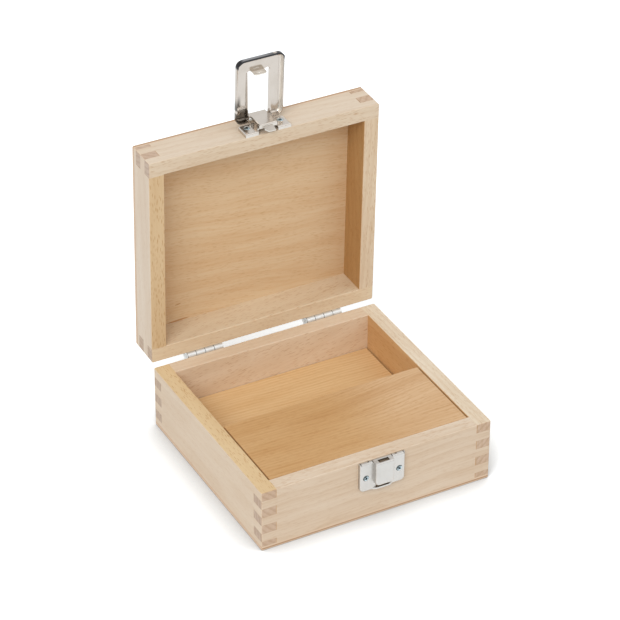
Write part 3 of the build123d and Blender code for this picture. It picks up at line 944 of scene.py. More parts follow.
@dataclass(frozen=True)
class PaintedLegReflection:
    """Painted reflection on the inner side of the lever's left leg: a dark patch with a painted grey
    haze above it, in metres.
    """

    lever: LeverPlace
    top: float = 8.6 * MM
    haze_low: float = 10.6 * MM
    haze_top: float = 20.0 * MM
    haze_width: float = 4.2 * MM
    tint: Colour = (0.13, 0.11, 0.085)
    reflection_haze_tint: Colour = (0.26, 0.26, 0.25)
    leg: Skin = Skin(1.4 * MM, 1.0 * MM)
    hollow: tuple[float, float] = (0.5 * MM, 0.7 * MM)
    blots: Pattern = Pattern((1.1 * MM, 4 * MM, 4 * MM), seeded=(), detail=1)
    blot_share: float = 0.4
    fade: float = 0.6 * MM
    haze_fade: float = 1.5 * MM
    haze_blur: float = 1.0 * MM

    def darken(self, tone: Input, point: Point) -> Socket:
        """Paint a dark reflection, with a grey haze above it, onto the metal's tone.

        Args:
            tone: The clean metal's tone.
            point: The surface point, in metres.

        Returns:
            The socket with the tone.
        """
        side, up, depth = self.lever.measures(point)
        leg = self.leg.above(side, -self.lever.window_half_width) * depth.rise(*self.hollow)
        outer = self.haze_width - self.lever.half_width
        haze = up.rise(self.haze_top, self.haze_low + self.haze_fade)
        haze = haze * up.rise(self.haze_low - self.fade, self.haze_low)
        haze = haze * side.rise(outer + self.haze_blur, outer - self.haze_blur)
        # Painted reflection: a grey haze above the dark patch, then the dark patch at the leg's
        # foot, broken up by blots.
        tone = side.bench.tint(tone, self.reflection_haze_tint, haze * leg)
        foot = up.rise(self.top, self.top - self.fade) * leg
        clear = 1.0 - self.blots.noise(point) * self.blot_share
        return side.bench.tint(tone, self.tint, foot * clear)


@dataclass(frozen=True)
class PaintedFarReflection:
    """Painted reflection of a dark room on the lever's far end, with a painted glint of one lamp
    left bright in it.

    Lengths are in metres, and places across are shares of the lever's half width.
    """

    lever: LeverPlace
    wall: float = 1.5 * MM
    blur: float = 0.4 * MM
    starts: float = 1.6 * MM
    full: float = 2.4 * MM
    from_end: tuple[float, float] = (6.0 * MM, 3.8 * MM)
    border: float = 5.2 * MM
    border_blur: float = 1.0 * MM
    tint: Colour = (0.52, 0.58, 0.67)
    dark: Colour = (0.13, 0.13, 0.135)
    right: tuple[float, float] = (0.05, 0.85)
    right_share: float = 0.9
    left: tuple[float, float] = (-0.68, -0.86)
    lamp_across: float = 0.60
    lamp_depth: float = 3.1 * MM
    lamp_radius: float = 1.5 * MM
    lamp_edge: tuple[float, float] = (0.35, 1.3)

    def darken(self, tone: Input, point: Point) -> Socket:
        """Paint the dark reflection onto the metal's tone on the outside of the far end.

        Args:
            tone: The clean metal's tone.
            point: The surface point, in metres.

        Returns:
            The socket with the tone.
        """
        lever = self.lever
        side, up, depth = lever.measures(point)
        down = (lever.end - lever.foot) - up
        over_side = (abs(side) - (lever.half_width - lever.far_corner)).most(0.0)
        outline = over_side.span((lever.far_corner - down).most(0.0))
        inner = lever.far_corner - self.wall
        zone = outline.rise(inner, inner + self.blur) * down.rise(*self.from_end)
        zone = zone * depth.rise(self.starts, self.full)
        share = side / lever.half_width
        lamp_x = (share - self.lamp_across) * (lever.half_width / self.lamp_radius)
        lamp_y = (depth - self.lamp_depth) / self.lamp_radius
        zone = zone * (lamp_x * lamp_x + lamp_y * lamp_y).rise(*self.lamp_edge)
        deep = share.rise(*self.right) * self.right_share
        deep = deep.most(share.rise(*self.left))
        deep = deep.most(depth.rise(self.border - self.border_blur, self.border))
        # Painted reflection: a blue-grey room, darker towards the corners and the rim, clear where
        # the lamp's glint stays bright.
        tone = side.bench.tint(tone, self.tint, zone)
        return side.bench.tint(tone, self.dark, zone * deep)


@dataclass(frozen=True)
class Crescent:
    """The shaded upper left of a screw head that sits in its countersink, in metres."""

    x: float
    z: float
    shift: float = 0.45 * MM
    radius: float = 1.75 * MM
    inner_blur: float = 0.25 * MM
    outer_blur: float = 0.1 * MM
    head: tuple[float, float] = (3.6 * MM, 3.5 * MM)
    tint: Colour = (0.16, 0.16, 0.15)

    def darken(self, tone: Input, point: Point) -> Socket:
        """Darken the metal's tone towards the upper left of the head.

        Args:
            tone: The clean metal's tone.
            point: The surface point, in metres.

        Returns:
            The socket with the tone.
        """
        off = (point[0] - (self.x + self.shift)).span(point[2] - (self.z - self.shift))
        shade = off.rise(self.radius - self.inner_blur, self.radius + self.outer_blur)
        return off.bench.tint(tone, self.tint, shade * off.rise(*self.head))


@dataclass(frozen=True)
class Seams:
    """The dark lines between the knuckles of a hinge, in metres; places lie along X."""

    places: tuple[float, ...]
    pin: Vector
    half_width: float = 0.2 * MM
    core: float = 0.08 * MM
    reach: float = 2.6 * MM
    blur: float = 0.1 * MM
    tint: Colour = (0.05, 0.045, 0.04)

    def darken(self, tone: Input, point: Point) -> Socket:
        """Darken the metal's tone on the lines.

        Args:
            tone: The clean metal's tone.
            point: The surface point, in metres.

        Returns:
            The socket with the tone.
        """
        x, y, z = point
        on_knuckle = (y - self.pin.y).span(z - self.pin.z).rise(self.reach + self.blur, self.reach)
        for place in self.places:
            seam = abs(x - place).rise(self.half_width, self.core)
            tone = x.bench.tint(tone, self.tint, seam * on_knuckle)
        return tone


# What darkens a metal in places: painted reflections on the lever, painted shade on screw heads,
# dark seams between hinge knuckles.
Mark = Union[PaintedLegReflection, PaintedFarReflection, Crescent, Seams]


@dataclass(frozen=True)
class MetalFinish:
    """Tone and polish of a metal."""

    name: str
    tone: Colour
    roughness: float
    grain: float
    smudge: float
    metallic: float = 1.0
    haze: Colour = (0.95, 0.945, 0.935)
    haze_pattern: Pattern = Pattern((9 * MM,) * 3, seeded=(), detail=3, shows=(0.42, 0.72))
    grain_pattern: Pattern = Pattern((0.35 * MM,) * 3, seeded=())
    grain_depth: float = 0.03 * MM

    def material(self, suffix: str = "", marks: Sequence[Mark] = ()) -> Material:
        """Make the metal.

        Args:
            suffix: What the material's name ends in.
            marks: What darkens the metal in places, painted reflections and painted shade among
                them.

        Returns:
            The material.
        """
        bench = Bench.for_material(self.name + suffix)
        point = bench.place()
        haze = self.haze_pattern.noise(point)
        grain = self.grain_pattern.noise(point)
        tone = bench.tint(self.tone, self.haze, haze.rise(*self.haze_pattern.shows))
        for mark in marks:
            tone = mark.darken(tone, point)
        return bench.finish(
            {
                "Base Color": tone,
                "Metallic": self.metallic,
                "Roughness": haze * self.smudge + (self.roughness - self.smudge / 2),
                "Normal": bench.bump(grain, self.grain, self.grain_depth),
            }
        )


SATIN_NICKEL = MetalFinish("satin_nickel", srgb(197, 194, 190), 0.30, 0.04, 0.04)
BRIGHT_NICKEL = MetalFinish("bright_nickel", srgb(196, 187, 178), 0.15, 0.02, 0.04)
PLATE_NICKEL = MetalFinish("plate_nickel", srgb(205, 198, 190), 0.20, 0.02, 0.05)
HINGE_STEEL = MetalFinish("hinge_steel", srgb(222, 223, 222), 0.36, 0.06, 0.08, metallic=0.7)
ZINC = MetalFinish("zinc_steel", srgb(186, 203, 210), 0.24, 0.08, 0.08)
# A paler, less metallic nickel whose pale colour is a painted bright reflection, for the lever's tab
# and the inside of its right rim.
PAINTED_PALE_NICKEL = MetalFinish("painted_pale_nickel", srgb(228, 221, 210), 0.45, 0.04, 0.04, metallic=0.35)
# Darker metal for the screws' cross recesses: painted shade in the recess.
RECESS_PAINTED_SHADE = MetalFinish("recess_painted_shade", srgb(84, 98, 106), 0.35, 0.08, 0.08)
PIN_STEEL = MetalFinish("pin_steel", srgb(196, 196, 194), 0.20, 0.06, 0.05)


SIDES = (
    ("front", Axis.X, Axis.Y, -1.0),
    ("rear", Axis.X, Axis.Y, 1.0),
    ("left", Axis.Y, Axis.X, -1.0),
    ("right", Axis.Y, Axis.X, 1.0),
)


@dataclass
class Case:
    """Sizes of the whole case in millimetres, read from the frame.

    The point on the hinge axis is in metres, and the angles of the open lid and of the raised lever
    are in radians.
    """

    wall: float = 10.0
    ply: float = 3.0
    finger: float = 6.0
    half_width: float = field(init=False)
    half_depth: float = field(init=False)
    base_rim: float = field(init=False)
    lid_rim: float = field(init=False)
    lid_top: float = field(init=False)
    hinge: Vector = field(init=False)
    opened: float = field(init=False)
    raised: float = field(init=False)

    def __post_init__(self) -> None:
        """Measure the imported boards."""
        low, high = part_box("base_front_wall")
        self.half_width = high.x / MM
        self.half_depth = -low.y / MM
        self.base_rim = high.z / MM
        joints = {joint["name"]: joint for joint in frame["joints"]}
        self.hinge = Vector(joints["lid_hinge"]["pos_m"])
        self.opened = math.radians(joints["lid_hinge"]["range_deg"][1])
        self.raised = math.radians(joints["latch_pivot"]["range_deg"][1])
        self.lid_rim = 2 * self.hinge.z / MM - self.base_rim
        _, panel_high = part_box("lid_top_panel")
        self.lid_top = self.lid_rim + (panel_high.y - self.hinge.y) / MM
        width, depth = 2 * self.half_width, 2 * self.half_depth
        log.info("case %.0f by %.0f mm, rim at %.1f mm", width, depth, self.base_rim)


@dataclass
class Tray:
    """Base or lid: four walls with finger joints and a plywood panel."""

    case: Case
    prefix: str
    panel: str
    opened: float
    rim: float
    panel_low: float
    boards: Mapping[str, Board]
    seed: float
    seed_step: float = 7.3
    knots: Sequence[Knot] = ()

    def dress(self) -> None:
        """Give each board its wood."""
        case = self.case
        joiner = Joiner(case.hinge, self.opened)
        joint = Joint(self.rim, case.finger, case.wall, case.half_width, case.half_depth)
        for index, (side, seat) in enumerate(self._seats().items()):
            name = f"{self.prefix}_{side}_wall"
            seed = self.seed + self.seed_step * index
            put_on(name, joiner.wood(name, BEECH, self.boards[side], seat, seed, joint))
        put_on(self.panel, self._plywood(PlyFinish()))

    def _seats(self) -> dict[str, Seat]:
        """Find where the four walls lie.

        Returns:
            Their seats, by side.
        """
        half = self.case.wall / 2
        reach = {Axis.X: self.case.half_width, Axis.Y: self.case.half_depth}
        seats = {}
        for side, grain, through, outward in SIDES:
            middle = [0.0, 0.0, self.rim]
            middle[through.value] = outward * (reach[through] - half)
            seats[side] = Seat(tuple(middle), grain, Axis.Z, through, reach[grain], half, outward)
        return seats

    def _plywood(self, finish: PlyFinish) -> Material:
        """Make the wood of the panel, with its layers showing on the edges.

        Args:
            finish: Tones of the panel.

        Returns:
            The material.
        """
        case = self.case
        bench = Bench.for_material(f"{finish.name}_{self.prefix}")
        place = ClosedPlace(bench, case.hinge, self.opened)
        x, y, height = place.point
        wave = finish.wave.noise((x, y, height), self.seed) - 0.5
        grain = (x, y - x * finish.slope + wave * finish.sway, height)
        fine = finish.fine.noise(grain, self.seed)
        flecks = finish.flecks.marks(grain, self.seed)
        colour = finish.face
        for tint, share in (
            (finish.deep, finish.bands.marks(grain, self.seed) * finish.band_share),
            (finish.deep, fine.rise(*finish.fine.shows) * finish.fine_share),
            (finish.fleck, flecks * finish.fleck_share),
            *((finish.streak, knot.share(x, y)) for knot in self.knots),
        ):
            colour = bench.tint(colour, tint, share)
        colour = self._layers(colour, finish, (x, y, height), fine)
        return finish.planing.finish(colour, flecks, flecks)

    def _layers(self, colour: Socket, finish: PlyFinish, point: Point, waver: Value) -> Socket:
        """Show the veneers on the panel's edges: the core runs across, so it is dark at the front.

        Args:
            colour: The face's colour.
            finish: Tones of the panel.
            point: The place in the closed case, in millimetres.
            waver: What makes the glue lines run a little uneven.

        Returns:
            The socket with the colour.
        """
        case = self.case
        x, y, height = point
        bench = height.bench
        front = finish.edge_face.below(abs(y), case.half_depth)
        side = finish.edge_face.below(abs(x), case.half_width)
        layer = (height - self.panel_low) * (finish.layers / case.ply)
        layer = layer + waver * finish.waver - finish.waver / 2
        core = layer.rise(*finish.core_starts) * layer.rise(*finish.core_ends)
        low, high = (finish.glue_line.above(abs(layer - at)) for at in finish.glue_at)
        colour = bench.mix(colour, finish.edge, front.most(side))
        colour = bench.tint(colour, finish.core, front * core)
        colour = bench.tint(colour, finish.veneer_end, side * (1.0 - core))
        return bench.tint(colour, finish.core, side * low.most(high) * finish.glue_share)


@dataclass
class Filling:
    """The floor board and the block in the base."""

    case: Case
    seed: float = 3.7
    seed_step: float = 5.1

    def dress(self) -> None:
        """Give both boards their wood."""
        joiner = Joiner(self.case.hinge, 0.0)
        for index, (name, board) in enumerate(FILLING_BOARDS.items()):
            low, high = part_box(name)
            middle = tuple(c / MM for c in (low + high) / 2)
            half = (high - low) / 2 / MM
            seat = Seat(middle, Axis.X, Axis.Y, Axis.Z, half.x, half.z)
            seed = self.seed + self.seed_step * index
            put_on(name, joiner.wood(name, HONEY_BEECH, board, seat, seed))


class Shaping:
    """A mesh that is shaped face by face in edit mode."""

    def __init__(self, name: str) -> None:
        """Take over the primitive that was just added.

        Args:
            name: Its new name.
        """
        self.piece = bpy.context.object
        self.piece.name = name
        bpy.ops.object.mode_set(mode="EDIT")
        bpy.ops.mesh.select_mode(type="FACE")

    def choose(self, test: Callable[[Vector, Vector], bool]) -> None:
        """Choose the faces whose middle and normal pass a test, and no others.

        Args:
            test: Takes the middle and the normal.
        """
        bpy.ops.mesh.select_all(action="DESELECT")
        mesh = bmesh.from_edit_mesh(self.piece.data)
        for face in mesh.faces:
            face.select_set(test(face.calc_center_median(), face.normal))
        bmesh.update_edit_mesh(self.piece.data)

    def draw_out(self, rise: float, scale: float) -> None:
        """Extrude the chosen face along Z and size its far end.

        Args:
            rise: How far, in metres; negative goes down.
            scale: Size of the far end as a share of the near end.
        """
        bpy.ops.mesh.extrude_region_move(TRANSFORM_OT_translate={"value": (0, 0, rise)})
        self.resize(scale)

    def resize(self, scale: float) -> None:
        """Size what is chosen about the Z axis."""
        bpy.ops.transform.resize(value=(scale, scale, 1), center_override=(0, 0, 0))

    def done(self) -> bpy.types.Object:
        """Leave edit mode.

        Returns:
            The piece.
        """
        bpy.ops.mesh.select_all(action="SELECT")
        bpy.ops.mesh.normals_make_consistent(inside=False)
        bpy.ops.object.mode_set(mode="OBJECT")
        bpy.ops.object.select_all(action="DESELECT")
        return self.piece


@dataclass(frozen=True)
class ScrewSize:
    """Sizes of a countersunk wood screw with a cross recess, in metres."""

    head_radius: float
    packed_radius: float
    shank_radius: float
    length: float
    lip: float = 0.12 * MM
    dome: float = 0.5 * MM
    dome_steps: int = 5
    dome_angle: float = math.radians(82)
    thread_turns: int = 6
    thread_height: float = 0.18 * MM
    tip_share: float = 0.08
    recess_width: float = 0.85 * MM
    recess_depth: float = 1.0 * MM
    recess_share: float = 1.25
    recess_taper: float = 0.45
    recess_steepest: float = 0.6
    recess_slack: float = 1.01
    facing_out: float = 0.5
    flat: float = 0.9
    sides: int = 36
    smooth_angle: float = math.radians(32)

    def model(self, name: str, finishes: Sequence[Material]) -> bpy.types.Object:
        """Model one screw, head up along Z, with the edge of its head at the origin's height.

        Args:
            name: Name of the piece.
            finishes: The metal of the screw, and the darker metal of its recess, which is painted
                shade.

        Returns:
            The screw.
        """
        cone = self.head_radius - self.shank_radius
        point = 2 * self.shank_radius
        threaded = self.length - cone - self.lip - point
        pitch = threaded / (self.thread_turns + 1)
        bpy.ops.object.select_all(action="DESELECT")
        bpy.ops.mesh.primitive_cylinder_add(
            vertices=self.sides,
            radius=self.shank_radius,
            depth=pitch,
            location=(0, 0, -self.lip - cone - pitch / 2),
        )
        bpy.ops.object.transform_apply(location=True)
        screw = Shaping(name)
        screw.choose(lambda middle, normal: normal.z > self.flat)
        screw.draw_out(cone, self.head_radius / self.shank_radius)
        screw.draw_out(self.lip, 1.0)
        self._round_over(screw)
        screw.choose(lambda middle, normal: normal.z < -self.flat)
        crest = 1 + self.thread_height / self.shank_radius
        for _ in range(self.thread_turns):
            screw.draw_out(-pitch / 2, crest)
            screw.draw_out(-pitch / 2, 1 / crest)
        screw.draw_out(-point, self.tip_share)
        piece = screw.done()
        self._cut_recess(piece)
        self._darken_recess(piece, finishes)
        piece.select_set(True)
        bpy.context.view_layer.objects.active = piece
        bpy.ops.object.shade_smooth_by_angle(angle=self.smooth_angle)
        piece.select_set(False)
        return piece

    def _round_over(self, screw: Shaping) -> None:
        """Dome the head in steps that lie on an ellipse.

        Args:
            screw: The screw, with the top of its head chosen.
        """
        radius, height = 1.0, 0.0
        for step in range(1, self.dome_steps + 1):
            angle = self.dome_angle * step / self.dome_steps
            screw.draw_out(self.dome * math.sin(angle) - height, math.cos(angle) / radius)
            radius, height = math.cos(angle), self.dome * math.sin(angle)

    def _cut_recess(self, piece: bpy.types.Object) -> None:
        """Cut the cross into the head with two tapered bars.

        Args:
            piece: The screw.
        """
        reach = self.recess_share * self.head_radius
        for turn in (0.0, math.pi / 2):
            bpy.ops.mesh.primitive_cube_add(size=1, rotation=(0, 0, turn))
            bar = bpy.context.object
            bar.scale = (reach, self.recess_width, 2 * self.recess_depth)
            bpy.ops.object.transform_apply(location=False)
            cutter = Shaping("recess_bar")
            cutter.choose(lambda middle, normal: normal.z < -self.flat)
            cutter.resize(self.recess_taper)
            cut = piece.modifiers.new("recess", "BOOLEAN")
            cut.object = cutter.done()
            cut.operation = "DIFFERENCE"
            cut.solver = "EXACT"
            bpy.context.view_layer.objects.active = piece
            bpy.ops.object.modifier_apply(modifier=cut.name)
            bpy.data.objects.remove(cutter.piece)

    def _darken_recess(self, piece: bpy.types.Object, finishes: Sequence[Material]) -> None:
        """Give the recess a darker metal: painted shade in the cross recess.

        Args:
            piece: The screw.
            finishes: The metal of the screw, and the darker metal of its recess, which is painted
                shade.
        """
        for finish in finishes:
            piece.data.materials.append(finish)
        bpy.context.view_layer.objects.active = piece
        head = Shaping(piece.name)
        reach = self.recess_share * self.head_radius / 2 + self.lip
        head.choose(lambda middle, normal: self._in_recess(middle, normal, reach))
        piece.active_material_index = 1
        bpy.ops.object.material_slot_assign()
        head.done()

    def _in_recess(self, middle: Vector, normal: Vector, reach: float) -> bool:
        """Tell whether a face belongs to the recess.

        Args:
            middle: The face's middle.
            normal: Its normal.
            reach: How far the recess reaches from the screw's axis.

        Returns:
            Whether it does.
        """
        if middle.xy.length > reach or middle.z < -self.recess_slack * self.recess_depth:
            return False
        if middle.xy.dot(normal.xy) > self.facing_out * middle.xy.length:
            return False
        return normal.z < self.recess_steepest or middle.z < -self.lip


@dataclass(frozen=True)
class ScrewRow:
    """A row of like screws that stands for one node of the frame."""

    node: str
    body: str
    size: ScrewSize
    outward: tuple[float, float, float]
    opened: float
    leaf: str | None = None
    first_turn: float = 0.3
    turn_step: float = 0.65

    def build(self, finishes: Sequence[Material]) -> None:
        """Model the row and put it where the frame has it.

        Args:
            finishes: The metal of the screws, and the darker metal of their recesses, which is
                painted shade.
        """
        low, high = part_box(self.node)
        middle = (low + high) / 2
        outward = Matrix.Rotation(-self.opened, 3, "X") @ Vector(self.outward)
        turn = outward.to_track_quat("Z", "Y").to_matrix().to_4x4()
        pattern = self.size.model(self.node + "_pattern", finishes)
        copies = []
        for index, x in enumerate(self._places(low.x, high.x)):
            seat = Vector((x, middle.y, middle.z)) + outward * (self.size.length / 2)
            spin = Matrix.Rotation(self.turn_step * index + self.first_turn, 4, "Z")
            screw = add(f"{self.node}_{index}", pattern.data.copy())
            screw.data.transform(Matrix.Translation(seat) @ turn @ spin)
            copies.append(screw)
        bpy.data.objects.remove(pattern)
        for screw in copies:
            screw.select_set(True)
        bpy.context.view_layer.objects.active = copies[0]
        bpy.ops.object.join()
        row = bpy.context.object
        row.name = f"{self.node}_turned"
        row.select_set(False)
        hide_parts(self.node)
        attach(row, self.body)
        log.info("%s has %d screws", row.name, len(copies))

    def _places(self, low: float, high: float) -> list[float]:
        """Where the screws stand along X.

        Args:
            low: Lower end of the row.
            high: Upper end of the row.

        Returns:
            One place for each screw.
        """
        first, last = low + self.size.packed_radius, high - self.size.packed_radius
        if not self.leaf:
            return [first, last]
        leaf_low, leaf_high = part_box(self.leaf)
        inner = leaf_low.x + leaf_high.x - last
        return [first, -inner, inner, last]


@dataclass(frozen=True)
class FarEnd:
    """The lever's far end, whose rim is drawn deeper than the sides'. Sizes are in metres."""

    along: Vector
    inward: Vector
    depth: float = 4.0 * MM
    extra: float = 1.3 * MM
    reach: float = 5.5 * MM
    full_reach: float = 1.5 * MM
    within: float = 0.05 * MM

    def deepen(self, mesh: bmesh.types.BMesh) -> None:
        """Draw the rim out, with a smooth run down to the sides.

        Args:
            mesh: The lever in edit mode.
        """
        start = max(vertex.co.dot(self.along) for vertex in mesh.verts) - self.reach
        rim = min(vertex.co.dot(self.inward) for vertex in mesh.verts) + self.depth
        for vertex in mesh.verts:
            if abs(vertex.co.dot(self.inward) - rim) < self.within:
                share = (vertex.co.dot(self.along) - start) / (self.reach - self.full_reach)
                share = min(max(share, 0.0), 1.0)
                vertex.co += self.inward * self.extra * share * share * (3 - 2 * share)


@dataclass(frozen=True)
class Pressing:
    """A pressed piece of the frame, with its sharp edges eased as a barrel polish leaves them.

    Sizes are in metres. Edges that lie on the wood the piece is screwed to stay sharp; outward
    points away from that wood.
    """

    node: str
    body: str
    slot: str
    edge: float
    outward: Vector | None = None
    far_end: FarEnd | None = None
    flat_faces: bool = True
    edge_steps: int = 3
    edge_angle: float = math.radians(38)
    smooth_angle: float = math.radians(36)
    joined_within: float = 0.001 * MM
    flat_within: float = math.radians(0.5)
    seat_gap: float = 0.5 * MM

    def build(self, finish: Material) -> bpy.types.Object:
        """Ease a copy of the piece and let it stand for the node.

        Args:
            finish: The piece's metal.

        Returns:
            The eased piece.
        """
        piece = add(f"{self.node}_eased", frame["nodes"][self.node].data.copy())
        bpy.ops.object.select_all(action="DESELECT")
        bpy.context.view_layer.objects.active = piece
        piece.select_set(True)
        bpy.ops.object.mode_set(mode="EDIT")
        bpy.ops.mesh.select_all(action="SELECT")
        bpy.ops.mesh.remove_doubles(threshold=self.joined_within)
        bpy.ops.mesh.dissolve_limited(angle_limit=self.flat_within)
        bpy.ops.mesh.select_mode(type="EDGE")
        bpy.ops.mesh.select_all(action="DESELECT")
        bpy.ops.mesh.edges_select_sharp(sharpness=self.edge_angle)
        mesh = bmesh.from_edit_mesh(piece.data)
        if self.far_end:
            self.far_end.deepen(mesh)
        if self.outward:
            self._spare_seat(mesh)
        bmesh.update_edit_mesh(piece.data)
        bpy.ops.mesh.bevel(
            offset=self.edge, segments=self.edge_steps, affect="EDGES", clamp_overlap=True
        )
        bpy.ops.object.mode_set(mode="OBJECT")
        bpy.ops.object.shade_smooth_by_angle(angle=self.smooth_angle)
        if self.flat_faces:
            flats = piece.modifiers.new("flats", "WEIGHTED_NORMAL")
            flats.keep_sharp = True
            bpy.ops.object.modifier_apply(modifier=flats.name)
        piece.select_set(False)
        piece.data.materials.clear()
        piece.data.materials.append(finish)
        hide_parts(self.node)
        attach(piece, self.body)
        log.info("%s has %d faces", piece.name, len(piece.data.polygons))
        return piece

    def _spare_seat(self, mesh: bmesh.types.BMesh) -> None:
        """Leave out the chosen edges that lie on the wood.

        Args:
            mesh: The piece in edit mode.
        """
        seat = min(vertex.co.dot(self.outward) for vertex in mesh.verts)
        for edge in mesh.edges:
            if max(vertex.co.dot(self.outward) for vertex in edge.verts) < seat + self.seat_gap:
                edge.select_set(False)


@dataclass
class Hinges:
    """The two butt hinges and their screws."""

    case: Case
    screw: ScrewSize = ScrewSize(1.55 * MM, 1.55 * MM, 0.9 * MM, 7.5 * MM, dome=0.3 * MM)
    knuckles: int = 4
    knuckle_radius: float = 2.2 * MM
    end_line: float = 0.35 * MM

    def dress(self) -> None:
        """Give the leaves and pins their metals and turn the screws."""
        pin = PIN_STEEL.material()
        # Painted shade: the screws' recesses take the darker metal.
        screw_metals = (ZINC.material("_hinges"), RECESS_PAINTED_SHADE.material("_hinges"))
        for side in ("left", "right"):
            low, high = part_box(f"hinge_base_leaf_{side}")
            pitch = (high.x - low.x) / self.knuckles
            between = [low.x + pitch * index for index in range(1, self.knuckles)]
            places = (low.x + self.end_line, *between)
            seams = Seams(places, self.case.hinge, reach=self.knuckle_radius)
            leaf = HINGE_STEEL.material(f"_{side}", (seams,))
            put_on(f"hinge_base_leaf_{side}", leaf)
            put_on(f"hinge_lid_leaf_{side}", leaf)
            put_on(f"hinge_pin_{side}", pin)
        for tray, opened in (("base", 0.0), ("lid", self.case.opened)):
            node, leaf_node = f"{tray}_hinge_screws", f"hinge_{tray}_leaf_right"
            ScrewRow(node, tray, self.screw, (0, 1, 0), opened, leaf_node).build(screw_metals)


@dataclass
class Latch:
    """Keeper, latch plate and lever, with their screws.

    The tab runs from one place to another below the lever's far end.
    """

    case: Case
    screw: ScrewSize = ScrewSize(2.1 * MM, 1.8 * MM, 1.1 * MM, 9.0 * MM)
    keeper_edge: float = 0.3 * MM
    plate_edge: float = 0.2 * MM
    lever_edge: float = 0.25 * MM
    tab_from: float = 10.4 * MM
    tab_to: float = 14.0 * MM
    tab_inset: float = 0.3 * MM
    rim_width: float = 4.0 * MM
    facing_left: float = -0.5

    def dress(self) -> None:
        """Ease the pressed pieces, give them their metals and turn the screws."""
        front = Vector((0, -1, 0))
        up = Matrix.Rotation(-self.case.opened, 3, "X") @ front
        keeper = Pressing("keeper_plate", "base", "satin_nickel", self.keeper_edge, front)
        keeper.build(SATIN_NICKEL.material())
        plate = Pressing("latch_plate", "lid", "bright_nickel", self.plate_edge, up)
        plate.build(PLATE_NICKEL.material())
        self._lever()
        put_on("latch_pin", PIN_STEEL.material("_latch"))
        # Painted shade: the screws' recesses take the darker metal.
        recess = RECESS_PAINTED_SHADE.material("_latch")
        low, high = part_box("keeper_screws")
        inset = self.screw.packed_radius
        level = (low.z + high.z) / 2
        shades = [Crescent(x, level) for x in (low.x + inset, high.x - inset)]
        for node, body, opened, suffix, marks in (
            ("keeper_screws", "base", 0.0, "_keeper", shades),
            ("latch_plate_screws", "lid", self.case.opened, "_latch", ()),
        ):
            row = ScrewRow(node, body, self.screw, (0, -1, 0), opened)
            row.build((ZINC.material(suffix, marks), recess))

    def _lever(self) -> None:
        """Shape the lever's far end, and give its tab and its right rim's inside a paler, less
        metallic nickel, whose pale colour is a painted reflection.
        """
        raised = Matrix.Rotation(-self.case.opened - self.case.raised, 3, "X")
        along, inward = raised @ Vector((0, 0, -1)), raised @ Vector((0, 1, 0))
        corners = [vertex.co for vertex in frame["nodes"]["latch_lever"].data.vertices]
        low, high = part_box("latch_lever")
        place = LeverPlace(
            along,
            inward,
            foot=min(corner.dot(along) for corner in corners),
            end=max(corner.dot(along) for corner in corners),
            face=min(corner.dot(inward) for corner in corners),
            middle=(low.x + high.x) / 2,
        )
        shape = Pressing(
            "latch_lever",
            "lever",
            "bright_nickel",
            self.lever_edge,
            far_end=FarEnd(along, inward),
            flat_faces=False,
        )
        # Painted reflections on the lever: the dark patch on its left leg and the dark room on its
        # far end.
        lever = shape.build(BRIGHT_NICKEL.material(marks=(PaintedLegReflection(place), PaintedFarReflection(place))))
        # Painted reflection: the tab and the right rim's inside take the pale nickel.
        lever.data.materials.append(PAINTED_PALE_NICKEL.material())
        tab_half_width = place.window_half_width - self.tab_inset
        rim_from = place.half_width - self.rim_width
        for polygon in lever.data.polygons:
            side = polygon.center.x - place.middle
            down = place.end - polygon.center.dot(along)
            on_tab = abs(side) < tab_half_width and self.tab_from < down < self.tab_to
            if on_tab or (polygon.normal.x < self.facing_left and side > rim_from):
                polygon.material_index = 1


@dataclass(frozen=True)
class Lamp:
    """A soft square lamp."""

    name: str
    place: tuple[float, float, float]
    size: float
    power: float


